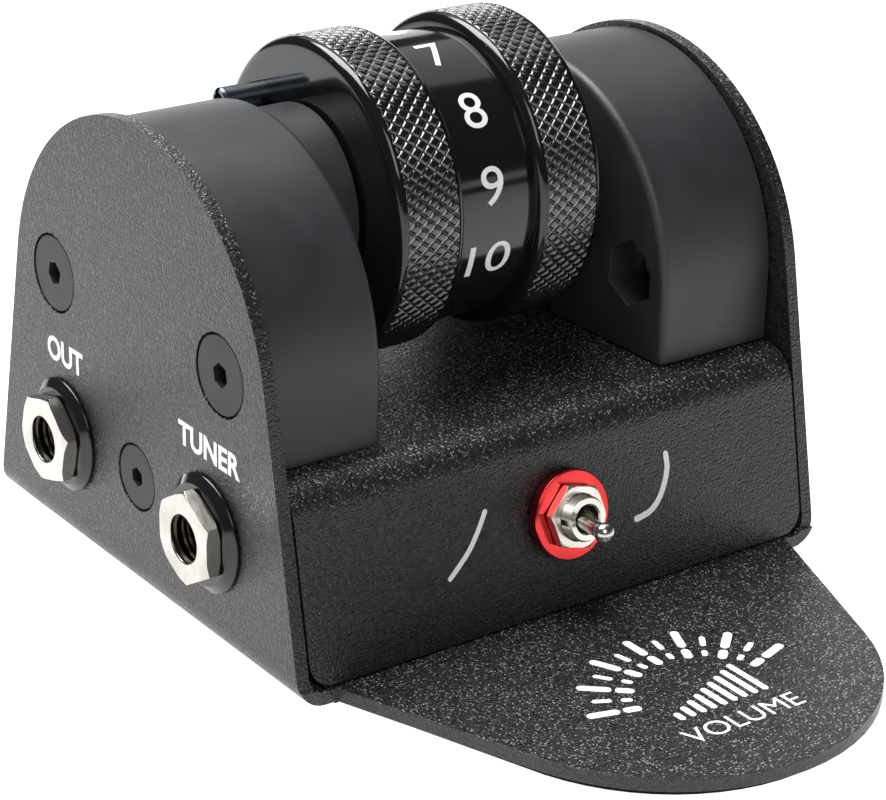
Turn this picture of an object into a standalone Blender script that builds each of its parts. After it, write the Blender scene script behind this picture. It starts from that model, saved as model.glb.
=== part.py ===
"""Roller volume pedal: a bent steel chassis that carries a foot-turned roller on an axle, with a
potentiometer in the left cheek, three jack sockets and a toggle switch.

Frame: +X runs along the roller's axle to the player's right, -Y points at the toe plate, +Z up.
The origin is on the floor, straight below the middle of the axle.
"""

import math

import bmesh
import bpy
from mathutils import Euler, Vector

MM = 0.001

# ---- driving dimensions: chassis -------------------------------------------------------------
WIDTH = 88.9 * MM  # over the outer faces of the two side walls
DEPTH = 80.3 * MM  # of a side wall where it meets the base
SHEET = 1.9 * MM  # steel thickness of the chassis
CHASSIS_BEND = 4.0 * MM  # outer radius of the two bends between base and walls
DOME_RADIUS = 32.5 * MM  # round top of a side wall
DOME_Z = 36.35 * MM  # height of that round's centre above the floor
TONGUE_ROOT = 38.8 * MM  # half width of the toe plate where it leaves the base
TONGUE_RADIUS = 30.4 * MM  # its round end
TONGUE_REACH = 16.0 * MM  # from the base's front edge to the centre of that round
PAD = 1.25 * MM  # grip pad under the base
PAD_INSET = 1.8 * MM  # its edge inside the steel's edge
PAD_SIDE_INSET = 6.5 * MM  # the same along the rounded side bends

# ---- driving dimensions: deck cover ----------------------------------------------------------
DECK_Z = 29.7 * MM  # top of the deck
DECK_SHEET = 1.5 * MM
DECK_BEND = 5.2 * MM  # outer radius of its front and rear bends
DECK_CORNER = 3.5 * MM  # rounded lower corners of its front and rear faces
TAB_HALF = 9.0 * MM  # half width of each screw tab under the deck
TAB_DROP = 16.0 * MM  # how far a tab hangs below the deck's top
LEAD_SLOT = (7.0 * MM, 3.0 * MM)  # length along Y and width along X of the ribbon's slot

# ---- driving dimensions: cheeks and roller ---------------------------------------------------
CHEEK_HALF = 29.0 * MM  # half depth of a cheek, which is its dome's radius too
CHEEK_DROP = 0.7 * MM  # its top below the wall's top
CHEEK_FILLET = 1.2 * MM  # round along the edge that faces the roller
CHEEK_FACE = {-1: 24.5 * MM, 1: 22.8 * MM}  # each cheek's roller side from the pedal's middle plane
HUB_GAP = 0.85 * MM  # between a hub and the stop pin that circles it
ROLLER_GAP = 1.6 * MM  # between the roller and the deck
AXLE_RADIUS = 3.0 * MM
DRUM_LENGTH = 34.0 * MM
KNURL_RADIUS = 22.2 * MM
KNURL_WIDTH = 8.45 * MM
BAND_STEP = 2.05 * MM  # from the knurl down to the number band between the two rims
BAND_WIDTH = 12.1 * MM
FACE_STEP = 1.8 * MM  # from the knurl down to the flat part of each end face
DRUM_RECESS = (6.5 * MM, 1.0 * MM)  # radius and depth of the spacer's seat in each end face
END_PLAY = 0.6 * MM  # between the roller's end face and a hub
BEARING_RADIUS = 7.5 * MM
BEARING_WIDTH = 5.0 * MM
BEARING_RACE = 1.1 * MM  # thickness of each race ring
SPACER_RADIUS = 5.0 * MM
AXLE_OVERHANG = 3.0 * MM  # axle beyond the right bearing
RETAINER = (5.0 * MM, 0.7 * MM)  # outer radius and thickness of the retaining ring
COUPLER_RADIUS = 5.4 * MM
COUPLER_LENGTH = 5.2 * MM

# ---- driving dimensions: stop pin and travel stop --------------------------------------------
STOP_PIN_INSET = 5.95 * MM  # from the knurl to the pin's axis
STOP_PIN_RADIUS = 2.0 * MM
STOP_PIN_WALL = 0.75 * MM
STOP_PIN_SLIT = 0.8 * MM
STOP_PIN_PROUD = 7.0 * MM  # beyond the roller's end face
STOP_PIN_SUNK = 6.0 * MM
STOP_PIN_ANGLE = 133.0  # degrees at rest, from the front over the top
TRAVEL_STOP_ANGLE = -97.0  # degrees, the middle of the fixed stop
TRAVEL_GAP = 24.0  # degrees between the pin's end position and the stop's middle
STOP_BLOCK_HALF = 2.35 * MM  # half of the fixed stop's radial width
STOP_BLOCK_LENGTH = 5.2 * MM
STOP_SCREW = {
    "head": 2.55 * MM,
    "rim": 1.2 * MM,
    "shank": 1.15 * MM,
    "length": 8.5 * MM,
    "socket": 1.7 * MM,
}

# ---- driving dimensions: potentiometer -------------------------------------------------------
POT_RADIUS = 8.3 * MM
POT_LENGTH = 7.6 * MM
POT_WEB = 2.5 * MM  # cheek material between the potentiometer and the coupler chamber
POT_THREAD = 3.4 * MM
POT_NUT = (10.0 * MM, 2.0 * MM)  # width across flats and thickness
POT_SHAFT_RADIUS = 2.4 * MM
POT_PLAY = 0.3 * MM
POT_TERMINALS = (1.6 * MM, 6.0 * MM, 3.0 * MM)  # their row along X, along Y, and how far it hangs down
CHAMBER_RADIUS = 6.9 * MM
RIBBON = (5.0 * MM, 0.9 * MM)  # width and thickness of the ribbon lead
RIBBON_LIFT = 6.0 * MM  # height of its fold above the board

# ---- driving dimensions: screws and nuts -----------------------------------------------------
CHEEK_SCREW_Y = 21.5 * MM
CHEEK_SCREW_Z = 41.45 * MM
CHEEK_SCREW = {"head": 5.4 * MM, "shank": 2.5 * MM, "length": 14.5 * MM, "socket": 3.0 * MM}
CHEEK_NUT = (8.0 * MM, 3.6 * MM)  # width across flats and thickness
CHEEK_SCREW_GRIP = 11.35 * MM  # from the screw's face to the bottom of its nut's pocket
COVER_SCREW_Z = 18.9 * MM
COVER_SCREW = {"head": 4.55 * MM, "shank": 2.0 * MM, "length": 7.0 * MM, "socket": 2.5 * MM}
HEAD_RIM = 0.35 * MM  # cylindrical rim of a countersunk head
CLINCH_NUT = (8.0 * MM, 3.2 * MM)

# ---- driving dimensions: jack sockets --------------------------------------------------------
JACK_Z = 18.0 * MM
JACKS = {"out": (-1, 19.6 * MM), "tuner": (-1, -18.0 * MM), "in": (1, 19.6 * MM)}
JACK_BORE = 3.3 * MM
JACK_THREAD = 4.5 * MM
JACK_RING = (8.2 * MM, 1.4 * MM)  # radius and thickness of the dress ring
JACK_NUT = (11.7 * MM, 2.1 * MM)
JACK_BODY = (17.0 * MM, 17.0 * MM, 23.0 * MM)  # along Y, Z and X
JACK_THREAD_SUNK = 4.5 * MM  # threaded sleeve inside the jack's body
JACK_SPRING = (3.0 * MM, 0.45 * MM)  # width and thickness of the tip contact
JACK_SPRING_RISE = 2.2 * MM

# ---- driving dimensions: toggle switch -------------------------------------------------------
TOGGLE_UP = 15.5 * MM  # its axis above the deck face's foot, along the slope
TOGGLE_RING = (6.2 * MM, 1.5 * MM)
TOGGLE_NUT = (8.3 * MM, 1.45 * MM)
TOGGLE_THREAD = 3.15 * MM
TOGGLE_BORE = 2.2 * MM
TOGGLE_MOUTH = 5.15 * MM  # end of the bushing in front of the deck's face
TOGGLE_BODY = (13.0 * MM, 7.0 * MM, 9.5 * MM)  # across, up the slope, and inwards
LEVER_PIVOT = 0.65 * MM  # pivot in front of the deck's face
LEVER_LENGTH = 11.0 * MM  # from the pivot to the middle of the tip
LEVER_RADIUS = 0.85 * MM
LEVER_TIP = 1.2 * MM
LEVER_BALL = 1.5 * MM
LEVER_TAIL = 3.7 * MM  # end of its tail below the pivot
LEVER_LEAN = 12.5  # degrees to the left at rest

# ---- driving dimensions: circuit board -------------------------------------------------------
BOARD = (34.0 * MM, 50.0 * MM, 1.6 * MM)
BOARD_Y = 4.0 * MM
BOARD_LIFT = 3.0 * MM  # standoff height above the base
STANDOFF_RADIUS = 2.5 * MM
CHIP = (6.0 * MM, 2.2 * MM)  # side and height of each chip

# ---- clearances and facets -------------------------------------------------------------------
SEAT = 0.3 * MM  # between pieces that rest on each other
SIDE = 0.35 * MM  # between the walls and what stands between them
HOLE = 0.35 * MM  # around a fastener or a shaft in its hole
BEARING_FIT = 0.1 * MM  # between the axle and a bearing's bore
HEAD_GAP = 0.3 * MM  # around a screw head in its countersink
CHAMFER = 0.4 * MM  # broken edges of screws, nuts and pins
NUT_CLIP = 1.06  # radius of a nut's chamfered face over half its width across flats
SMALL_STEP = 0.1 * MM  # offset that keeps two faces from lying in one plane
THROUGH = 3.0 * MM  # how far a cutter runs past what it cuts
ROUND = 48  # sides of large rounds
MEDIUM = 24  # sides of shafts, bores, screws and nuts: a multiple of twelve keeps hexagon corners
DECK_STEPS = 6  # facets of each bend and corner of the deck cover

# ---- derived places --------------------------------------------------------------------------
AXLE_Z = DECK_Z + ROLLER_GAP + KNURL_RADIUS
BAND_RADIUS = KNURL_RADIUS - BAND_STEP
FACE_RADIUS = KNURL_RADIUS - FACE_STEP
STOP_ORBIT = KNURL_RADIUS - STOP_PIN_INSET
HUB_RADIUS = STOP_ORBIT - STOP_PIN_RADIUS - HUB_GAP
BASE_BOTTOM = PAD + SEAT
BASE_TOP = BASE_BOTTOM + SHEET
WALL_OUTER = WIDTH / 2
WALL_INNER = WALL_OUTER - SHEET
DRUM_END = DRUM_LENGTH / 2
HUB_END = DRUM_END + END_PLAY
CHEEK_OUTER = WALL_INNER - SIDE
CHEEK_BOTTOM = DECK_Z + SEAT
CHEEK_DOME_Z = DOME_Z + DOME_RADIUS - CHEEK_DROP - CHEEK_HALF
BEARING_START = HUB_END + SIDE
BEARING_END = BEARING_START + BEARING_WIDTH
POCKET_END = BEARING_END + SEAT
POT_END = CHEEK_OUTER - SEAT
POT_START = POT_END - POT_LENGTH
WEB_OUTER = POT_START - SEAT
WEB_INNER = WEB_OUTER - POT_WEB
POT_NUT_END = WEB_INNER - SEAT
POT_NUT_START = POT_NUT_END - POT_NUT[1]
COUPLER_START = BEARING_END + SEAT
COUPLER_MID = COUPLER_START + COUPLER_LENGTH / 2
DECK_FOOT = BASE_TOP + SEAT
TAB_OUTER = CHEEK_OUTER - SMALL_STEP
LEAD_X = WEB_OUTER + POT_WEB
SCREW_FACE = WALL_OUTER - SMALL_STEP
CHEEK_NUT_SEAT = SCREW_FACE - CHEEK_SCREW_GRIP
ACROSS = Euler((math.pi / 2, 0, math.pi / 2))  # local Z along world X, local X along world Y

MATERIALS = {
    "powder_coat": ((0.020, 0.020, 0.021), 0.55, 0.0),
    "cheek_plastic": ((0.045, 0.045, 0.048), 0.62, 0.0),
    "black_anodised": ((0.012, 0.012, 0.014), 0.16, 0.6),
    "black_screw": ((0.05, 0.05, 0.055), 0.38, 0.8),
    "nickel": ((0.80, 0.77, 0.72), 0.16, 1.0),
    "steel": ((0.55, 0.56, 0.58), 0.28, 1.0),
    "gloss_black": ((0.012, 0.012, 0.013), 0.12, 0.0),
    "red_anodised": ((0.60, 0.02, 0.02), 0.22, 0.7),
    "rubber": ((0.012, 0.012, 0.012), 0.85, 0.0),
    "board_green": ((0.02, 0.16, 0.06), 0.45, 0.0),
    "ribbon_grey": ((0.35, 0.35, 0.36), 0.5, 0.0),
    "spring_bronze": ((0.65, 0.42, 0.20), 0.3, 1.0),
}


# ---- scene and object helpers ----------------------------------------------------------------
def clear_scene():
    """Empty the file before the pedal is built."""
    for obj in list(bpy.data.objects):
        bpy.data.objects.remove(obj)


def material(name):
    """The named finish, made the first time it is asked for."""
    found = bpy.data.materials.get(name)
    if found:
        return found
    colour, roughness, metallic = MATERIALS[name]
    made = bpy.data.materials.new(name)
    made.use_nodes = True
    shader = made.node_tree.nodes["Principled BSDF"]
    shader.inputs["Base Color"].default_value = (*colour, 1.0)
    shader.inputs["Roughness"].default_value = roughness
    shader.inputs["Metallic"].default_value = metallic
    made.diffuse_color = (*colour, 1.0)
    return made


def add_object(name, bm, finish, at=(0, 0, 0), turn=None, parent=None):
    """Make an object from a bmesh, facing out and shaded smooth except at sharp edges."""
    bmesh.ops.remove_doubles(bm, verts=bm.verts, dist=1e-6)
    bmesh.ops.dissolve_degenerate(bm, edges=bm.edges, dist=1e-6)
    bmesh.ops.recalc_face_normals(bm, faces=bm.faces)
    mesh = bpy.data.meshes.new(name)
    bm.to_mesh(mesh)
    bm.free()
    mesh.shade_smooth()
    mesh.set_sharp_from_angle(angle=math.radians(35))
    obj = bpy.data.objects.new(name, mesh)
    bpy.context.scene.collection.objects.link(obj)
    if finish:
        mesh.materials.append(material(finish))
    obj.location = at
    obj.rotation_euler = turn or Euler((0, 0, 0))
    if parent:
        obj.parent = parent
        obj.location = Vector(at) - parent.location
    return obj


def pivot(name, at):
    """An empty on a joint's axis, which carries what moves on that joint."""
    empty = bpy.data.objects.new(name, None)
    bpy.context.scene.collection.objects.link(empty)
    empty.location = at
    return empty


def as_cutter(obj):
    """Mark a helper that only shapes other pieces."""
    obj.hide_render = True
    obj.display_type = "WIRE"
    return obj


def combine(obj, others, operation="DIFFERENCE"):
    """Add one exact Boolean for each helper."""
    for other in others:
        step = obj.modifiers.new(f"{operation.lower()}_{other.name}", "BOOLEAN")
        step.operation = operation
        step.solver = "EXACT"
        step.object = as_cutter(other)
    return obj


# ---- shape helpers ---------------------------------------------------------------------------
def hexagon(flats, angle):
    """Distance from a hexagon's middle to its side at an angle; flats is its width across flats."""
    within = (angle + math.pi / 6) % (math.pi / 3) - math.pi / 6
    return flats / 2 / math.cos(within)


def ring_points(ring, sides):
    """Points of one turned ring: (radius, height), or (clip radius, height, width across flats)."""
    radius, height = ring[0], ring[1]
    points = []
    for i in range(sides):
        angle = 2 * math.pi * i / sides
        reach = min(radius, hexagon(ring[2], angle)) if len(ring) == 3 else radius
        points.append((reach * math.cos(angle), reach * math.sin(angle), height))
    return points


def turned(name, rings, finish, sides=MEDIUM, bored=False, **place):
    """A turned solid about local Z. A bored one joins its last ring to its first."""
    bm = bmesh.new()
    loops = [[bm.verts.new(p) for p in ring_points(ring, sides)] for ring in rings]
    joined = list(zip(loops, loops[1:]))
    if bored:
        joined.append((loops[-1], loops[0]))
    else:
        bm.faces.new(loops[0])
        bm.faces.new(loops[-1])
    for low, high in joined:
        for i in range(sides):
            j = (i + 1) % sides
            bm.faces.new((low[i], low[j], high[j], high[i]))
    return add_object(name, bm, finish, **place)


def tube(name, inner, outer, start, end, finish, sides=MEDIUM, **place):
    """A plain bored cylinder from start to end along local Z."""
    rings = [(outer, start), (outer, end), (inner, end), (inner, start)]
    return turned(name, rings, finish, sides, bored=True, **place)


def rod(name, radius, start, end, finish, sides=MEDIUM, **place):
    """A plain cylinder from start to end along local Z."""
    return turned(name, [(radius, start), (radius, end)], finish, sides, **place)


def prism(name, outline, start, end, finish, **place):
    """An outline in local X and Y, extruded along local Z."""
    bm = bmesh.new()
    face = bm.faces.new([bm.verts.new((a, b, start)) for a, b in outline])
    grown = bmesh.ops.extrude_face_region(bm, geom=[face])
    top = [v for v in grown["geom"] if isinstance(v, bmesh.types.BMVert)]
    bmesh.ops.translate(bm, verts=top, vec=(0, 0, end - start))
    return add_object(name, bm, finish, **place)


def block(name, low, high, finish, **place):
    """A box between two corners."""
    outline = [(low[0], low[1]), (high[0], low[1]), (high[0], high[1]), (low[0], high[1])]
    return prism(name, outline, low[2], high[2], finish, **place)


def arc(centre, radius, start, end, steps):
    """Points along an arc, angles in radians."""
    turns = [start + (end - start) * i / steps for i in range(steps + 1)]
    return [(centre[0] + radius * math.cos(t), centre[1] + radius * math.sin(t)) for t in turns]


def on_orbit(radius, degrees):
    """(y, z) on a circle about the axle, from the front over the top."""
    angle = math.radians(degrees)
    return -radius * math.cos(angle), AXLE_Z + radius * math.sin(angle)


# ---- outlines that several pieces share ------------------------------------------------------
def wall_lean():
    """Angle between a wall's front edge and the vertical, where it runs tangent to the dome."""
    rise = DOME_Z - BASE_BOTTOM
    half = DEPTH / 2
    return math.pi / 2 - math.atan2(rise, half) - math.asin(DOME_RADIUS / math.hypot(half, rise))


def wall_edge_y(height):
    """Distance of the walls' straight front edge from the axle's plane at a height."""
    return DEPTH / 2 - (height - BASE_BOTTOM) * math.tan(wall_lean())


def plan_outline(side, root, radius, front, back):
    """Base and toe plate seen from above, with straight sides tangent to the round end."""
    centre = (0.0, -(DEPTH / 2 + TONGUE_REACH))
    reach = TONGUE_REACH - (DEPTH / 2 - front)
    taper = math.acos(radius / math.hypot(root, reach)) - math.atan2(reach, root)
    tip = arc(centre, radius, -taper, taper - math.pi, ROUND // 2)
    start = [(side, back), (side, -front), (root, -front)]
    return start + tip + [(-root, -front), (-side, -front), (-side, back)]


def deck_path():
    """((y, z) outside, (y, z) inside, half width) along the deck cover, from front to rear foot."""
    lean = wall_lean()
    steps = DECK_STEPS
    path = []
    for i in range(steps + 1):
        turn = math.pi / 2 * i / steps
        z = DECK_FOOT + DECK_CORNER * (1 - math.cos(turn)) * math.cos(lean)
        y = -wall_edge_y(z)
        width = CHEEK_OUTER - DECK_CORNER * (1 - math.sin(turn))
        path.append(((y, z), (y + DECK_SHEET / math.cos(lean), z), width))
    tangent = DECK_BEND * math.tan((math.pi / 2 - lean) / 2)
    centre = (tangent - wall_edge_y(DECK_Z), DECK_Z - DECK_BEND)
    outer = arc(centre, DECK_BEND, math.pi - lean, math.pi / 2, steps)
    inner = arc(centre, DECK_BEND - DECK_SHEET, math.pi - lean, math.pi / 2, steps)
    path += [(a, b, CHEEK_OUTER) for a, b in zip(outer, inner)]
    rear = [((-a[0], a[1]), (-b[0], b[1]), width) for a, b, width in reversed(path)]
    return path + rear


# ---- chassis and pad -------------------------------------------------------------------------
def chassis():
    """One bent sheet: base, toe plate and two domed walls with all their holes."""
    inner_bend = CHASSIS_BEND - SHEET
    top = DOME_Z + DOME_RADIUS + THROUGH
    section = [(WALL_OUTER, top)]
    right = (WALL_OUTER - CHASSIS_BEND, BASE_BOTTOM + CHASSIS_BEND)
    left = (-right[0], right[1])
    section += arc(right, CHASSIS_BEND, 0, -math.pi / 2, 6)
    section += arc(left, CHASSIS_BEND, -math.pi / 2, -math.pi, 6)
    section += [(-WALL_OUTER, top), (-WALL_INNER, top)]
    section += arc(left, inner_bend, -math.pi, -math.pi / 2, 4)
    section += arc(right, inner_bend, -math.pi / 2, 0, 4)
    section += [(WALL_INNER, top)]
    reach = DEPTH / 2 + TONGUE_REACH + TONGUE_RADIUS + THROUGH
    upright = Euler((math.pi / 2, 0, 0))
    body = prism("chassis", section, -DEPTH, reach, "powder_coat", turn=upright)

    lean = wall_lean()
    dome = arc((0, DOME_Z), DOME_RADIUS, lean, math.pi - lean, ROUND - 8)
    step = BASE_TOP + CHASSIS_BEND / 8
    side = [(-reach - THROUGH, BASE_BOTTOM - THROUGH), (DEPTH / 2, BASE_BOTTOM - THROUGH)]
    side += [(DEPTH / 2, BASE_BOTTOM)] + dome + [(-wall_edge_y(step), step)]
    side += [(-reach - THROUGH, step)]
    wide = WALL_OUTER + THROUGH
    side_view = prism("shape_wall_outline", side, -wide, wide, None, turn=ACROSS)
    plan = plan_outline(wide, TONGUE_ROOT, TONGUE_RADIUS, DEPTH / 2, DEPTH)
    plan_view = prism("shape_plan_outline", plan, -THROUGH, top + THROUGH, None)
    combine(body, [side_view, plan_view], "INTERSECT")
    holes = [cheek_screw_cutter(sign, y) for sign in (-1, 1) for y in (-1, 1)]
    holes += [cover_screw_cutter(sign) for sign in (-1, 1)]
    for name, (sign, y) in JACKS.items():
        start, end = sorted((sign * (WALL_INNER - THROUGH), sign * (WALL_OUTER + THROUGH)))
        radius = JACK_THREAD + HOLE
        holes.append(rod(f"cut_jack_{name}", radius, start, end, None, at=(0, y, JACK_Z), turn=ACROSS))
    return combine(body, holes)


def base_pad():
    """Grip pad that the pedal stands on."""
    side = WALL_OUTER - PAD_SIDE_INSET
    radius = TONGUE_RADIUS - PAD_INSET
    root = TONGUE_ROOT - PAD_INSET
    edge = DEPTH / 2 - PAD_INSET
    outline = plan_outline(side, min(root, side), radius, edge, edge)
    return prism("base_pad", outline, 0, PAD, "rubber")


# ---- deck cover ------------------------------------------------------------------------------
def deck_cover():
    """Inverted channel between the walls, with a screw tab at each side."""
    bm = bmesh.new()
    stations = []
    for outside, inside, width in deck_path():
        corners = [(-width, *outside), (width, *outside), (width, *inside), (-width, *inside)]
        stations.append([bm.verts.new(c) for c in corners])
    for low, high in zip(stations, stations[1:]):
        for i in range(4):
            j = (i + 1) % 4
            bm.faces.new((low[i], low[j], high[j], high[i]))
    bm.faces.new(stations[0])
    bm.faces.new(stations[-1])
    cover = add_object("deck_cover", bm, "powder_coat")

    tabs = []
    for sign, side in ((-1, "left"), (1, "right")):
        low_x, high_x = sorted((sign * TAB_OUTER, sign * (TAB_OUTER - DECK_SHEET)))
        low = (low_x, -TAB_HALF, DECK_Z - TAB_DROP)
        tabs.append(block(f"join_{side}_tab", low, (high_x, TAB_HALF, DECK_Z - DECK_SHEET / 2), None))
    combine(cover, tabs, "UNION")
    cuts = [cover_screw_cutter(sign) for sign in (-1, 1)]
    cuts.append(toggle_piece(rod, "cut_toggle_hole", TOGGLE_THREAD + HOLE, -3 * THROUGH, THROUGH, None))
    slot = (-LEAD_X - LEAD_SLOT[1] / 2, -LEAD_SLOT[0] / 2, DECK_Z - 2 * DECK_SHEET)
    slot_end = (-LEAD_X + LEAD_SLOT[1] / 2, LEAD_SLOT[0] / 2, DECK_Z + DECK_SHEET)
    cuts.append(block("cut_lead_slot", slot, slot_end, None))
    return combine(cover, cuts)


# ---- cheeks ----------------------------------------------------------------------------------
def cheek_body(name, sign):
    """Domed block beside a wall, rounded along the edge that faces the roller."""
    outline = [(CHEEK_HALF, CHEEK_BOTTOM)]
    outline += arc((0, CHEEK_DOME_Z), CHEEK_HALF, 0, math.pi, ROUND - 8)
    outline += [(-CHEEK_HALF, CHEEK_BOTTOM)]
    bm = bmesh.new()
    face = bm.faces.new([bm.verts.new((sign * CHEEK_OUTER, y, z)) for y, z in outline])
    grown = bmesh.ops.extrude_face_region(bm, geom=[face])
    inner = [v for v in grown["geom"] if isinstance(v, bmesh.types.BMVert)]
    bmesh.ops.translate(bm, verts=inner, vec=(-sign * (CHEEK_OUTER - CHEEK_FACE[sign]), 0, 0))
    rim = [edge for edge in bm.edges if set(edge.verts) <= set(inner)]
    edges = [edge for edge in rim if max(v.co.z for v in edge.verts) > CHEEK_BOTTOM + SEAT]
    bmesh.ops.bevel(bm, geom=edges, offset=CHEEK_FILLET, segments=4, profile=0.5, affect="EDGES")
    return add_object(name, bm, "cheek_plastic")


def cheek(name, sign):
    """A cheek with its hub, bearing pocket, screw holes and nut pockets."""
    body = cheek_body(name, sign)
    at = (0, 0, AXLE_Z)
    start, end = sorted((sign * HUB_END, sign * (CHEEK_FACE[sign] + THROUGH)))
    hub = rod(f"join_{name}_hub", HUB_RADIUS, start, end, None, ROUND, at=at, turn=ACROSS)
    combine(body, [hub], "UNION")
    cuts = []
    start, end = sorted((sign * (HUB_END - THROUGH), sign * POCKET_END))
    pocket = BEARING_RADIUS + SEAT
    cuts.append(rod(f"cut_{name}_bearing", pocket, start, end, None, ROUND, at=at, turn=ACROSS))
    for y in (-1, 1):
        cuts.append(cheek_screw_cutter(sign, y))
        cuts.append(nut_pocket(sign, y))
    return combine(body, cuts)


def left_cheek():
    """Left cheek, hollowed for the coupler, the potentiometer and its ribbon lead."""
    body = cheek("left_cheek", -1)
    at = (0, 0, AXLE_Z)
    chamber = rod("cut_coupler_chamber", CHAMBER_RADIUS, -WEB_INNER, -HUB_END, None, at=at, turn=ACROSS)
    bush = rod("cut_pot_bush", POT_THREAD + HOLE, -POT_START, -HUB_END, None, at=at, turn=ACROSS)
    start = -(CHEEK_OUTER + THROUGH)
    room = rod("cut_pot_room", POT_RADIUS + SIDE, start, -WEB_OUTER, None, ROUND, at=at, turn=ACROSS)
    low = (start, -LEAD_SLOT[0] / 2, CHEEK_BOTTOM - THROUGH)
    lane = block("cut_ribbon_lane", low, (-WEB_OUTER, LEAD_SLOT[0] / 2, AXLE_Z), None)
    screw_y, screw_z = on_orbit(STOP_ORBIT, TRAVEL_STOP_ANGLE)
    radius = STOP_SCREW["shank"] + HOLE
    start = -(CHEEK_FACE[-1] + STOP_SCREW["length"])
    hole = rod("cut_stop_screw", radius, start, -HUB_END, None, at=(0, screw_y, screw_z), turn=ACROSS)
    return combine(body, [chamber, bush, room, lane, hole])


def right_cheek():
    """Right cheek, with a blind chamber for the axle's end."""
    body = cheek("right_cheek", 1)
    end = BEARING_END + AXLE_OVERHANG + COUPLER_RADIUS / 2
    radius = RETAINER[0] + 2 * HOLE
    chamber = rod("cut_axle_chamber", radius, HUB_END, end, None, at=(0, 0, AXLE_Z), turn=ACROSS)
    return combine(body, [chamber])


# ---- screws and nuts -------------------------------------------------------------------------
def screw_rings(size, sign):
    """Rings of a countersunk socket screw whose flush head faces outwards along X."""
    head, shank, length, socket = size["head"], size["shank"], size["length"], size["socket"]
    face = SCREW_FACE
    cone = head - shank
    rings = [(socket, face - cone, socket), (socket, face, socket), (head, face), (head, face - HEAD_RIM)]
    rings += [(shank, face - HEAD_RIM - cone), (shank, face - length + CHAMFER)]
    rings += [(shank - CHAMFER, face - length)]
    return [(ring[0], sign * ring[1], *ring[2:]) for ring in rings]


def screw_cutter(name, size, sign, at):
    """Countersunk clearance hole that takes one of those screws."""
    head = size["head"] + HEAD_GAP
    rim = SCREW_FACE - HEAD_RIM
    shank = size["shank"] + HOLE
    rings = [(head, WALL_OUTER + THROUGH), (head, rim), (shank, rim - (head - shank))]
    rings += [(shank, WALL_OUTER - size["length"] - THROUGH)]
    rings = [(radius, sign * height) for radius, height in rings]
    return turned(name, rings, None, at=at, turn=ACROSS)


def cheek_screw_place(y):
    """Where a cheek screw's axis meets the plane of the roller's middle."""
    return 0, y * CHEEK_SCREW_Y, CHEEK_SCREW_Z


def cheek_screw_cutter(sign, y):
    """The hole of one cheek screw, shared by wall and cheek."""
    name = f"cut_cheek_screw_{'left' if sign < 0 else 'right'}_{'front' if y < 0 else 'rear'}"
    return bpy.data.objects.get(name) or screw_cutter(name, CHEEK_SCREW, sign, cheek_screw_place(y))


def cover_screw_cutter(sign):
    """The hole of one cover screw, shared by wall and tab."""
    name = f"cut_cover_screw_{'left' if sign < 0 else 'right'}"
    return bpy.data.objects.get(name) or screw_cutter(name, COVER_SCREW, sign, (0, 0, COVER_SCREW_Z))


def nut_pocket(sign, y):
    """Hexagonal pocket, open towards the roller, that keeps a cheek nut from turning."""
    flats = CHEEK_NUT[0] + 2 * SEAT
    start, end = sorted((sign * (CHEEK_FACE[sign] - THROUGH), sign * CHEEK_NUT_SEAT))
    name = f"cut_nut_pocket_{'left' if sign < 0 else 'right'}_{'front' if y < 0 else 'rear'}"
    rings = [(flats, start, flats), (flats, end, flats)]
    return turned(name, rings, None, at=cheek_screw_place(y), turn=ACROSS)


def nut(name, size, bore, start, sign, finish, at, **place):
    """Hexagon nut whose first face lies at start, growing in the direction of sign."""
    flats, thickness = size
    clip = flats / 2 * NUT_CLIP
    heights = [start + sign * step for step in (0, CHAMFER, thickness - CHAMFER, thickness)]
    rings = [(clip, heights[0], flats), (flats, heights[1], flats), (flats, heights[2], flats)]
    rings += [(clip, heights[3], flats), (bore, heights[3]), (bore, heights[0])]
    return turned(name, rings, finish, bored=True, at=at, **place)


def fasteners():
    """The four cheek screws with their nuts, and the two cover screws with their clinch nuts."""
    for sign, side in ((-1, "left"), (1, "right")):
        for y, end in ((-1, "front"), (1, "rear")):
            name = f"cheek_screw_{side}_{end}"
            at = cheek_screw_place(y)
            turned(name, screw_rings(CHEEK_SCREW, sign), "black_screw", at=at, turn=ACROSS)
            start = sign * (CHEEK_NUT_SEAT - SEAT - CHEEK_NUT[1])
            bore = CHEEK_SCREW["shank"] + HOLE
            nut(f"cheek_nut_{side}_{end}", CHEEK_NUT, bore, start, sign, "steel", at, turn=ACROSS)
        at = (0, 0, COVER_SCREW_Z)
        turned(f"cover_screw_{side}", screw_rings(COVER_SCREW, sign), "black_screw", at=at, turn=ACROSS)
        start = sign * (TAB_OUTER - DECK_SHEET - SEAT)
        bore = COVER_SCREW["shank"] + HOLE
        nut(f"clinch_nut_{side}", CLINCH_NUT, bore, start, -sign, "steel", at, turn=ACROSS)


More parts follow.
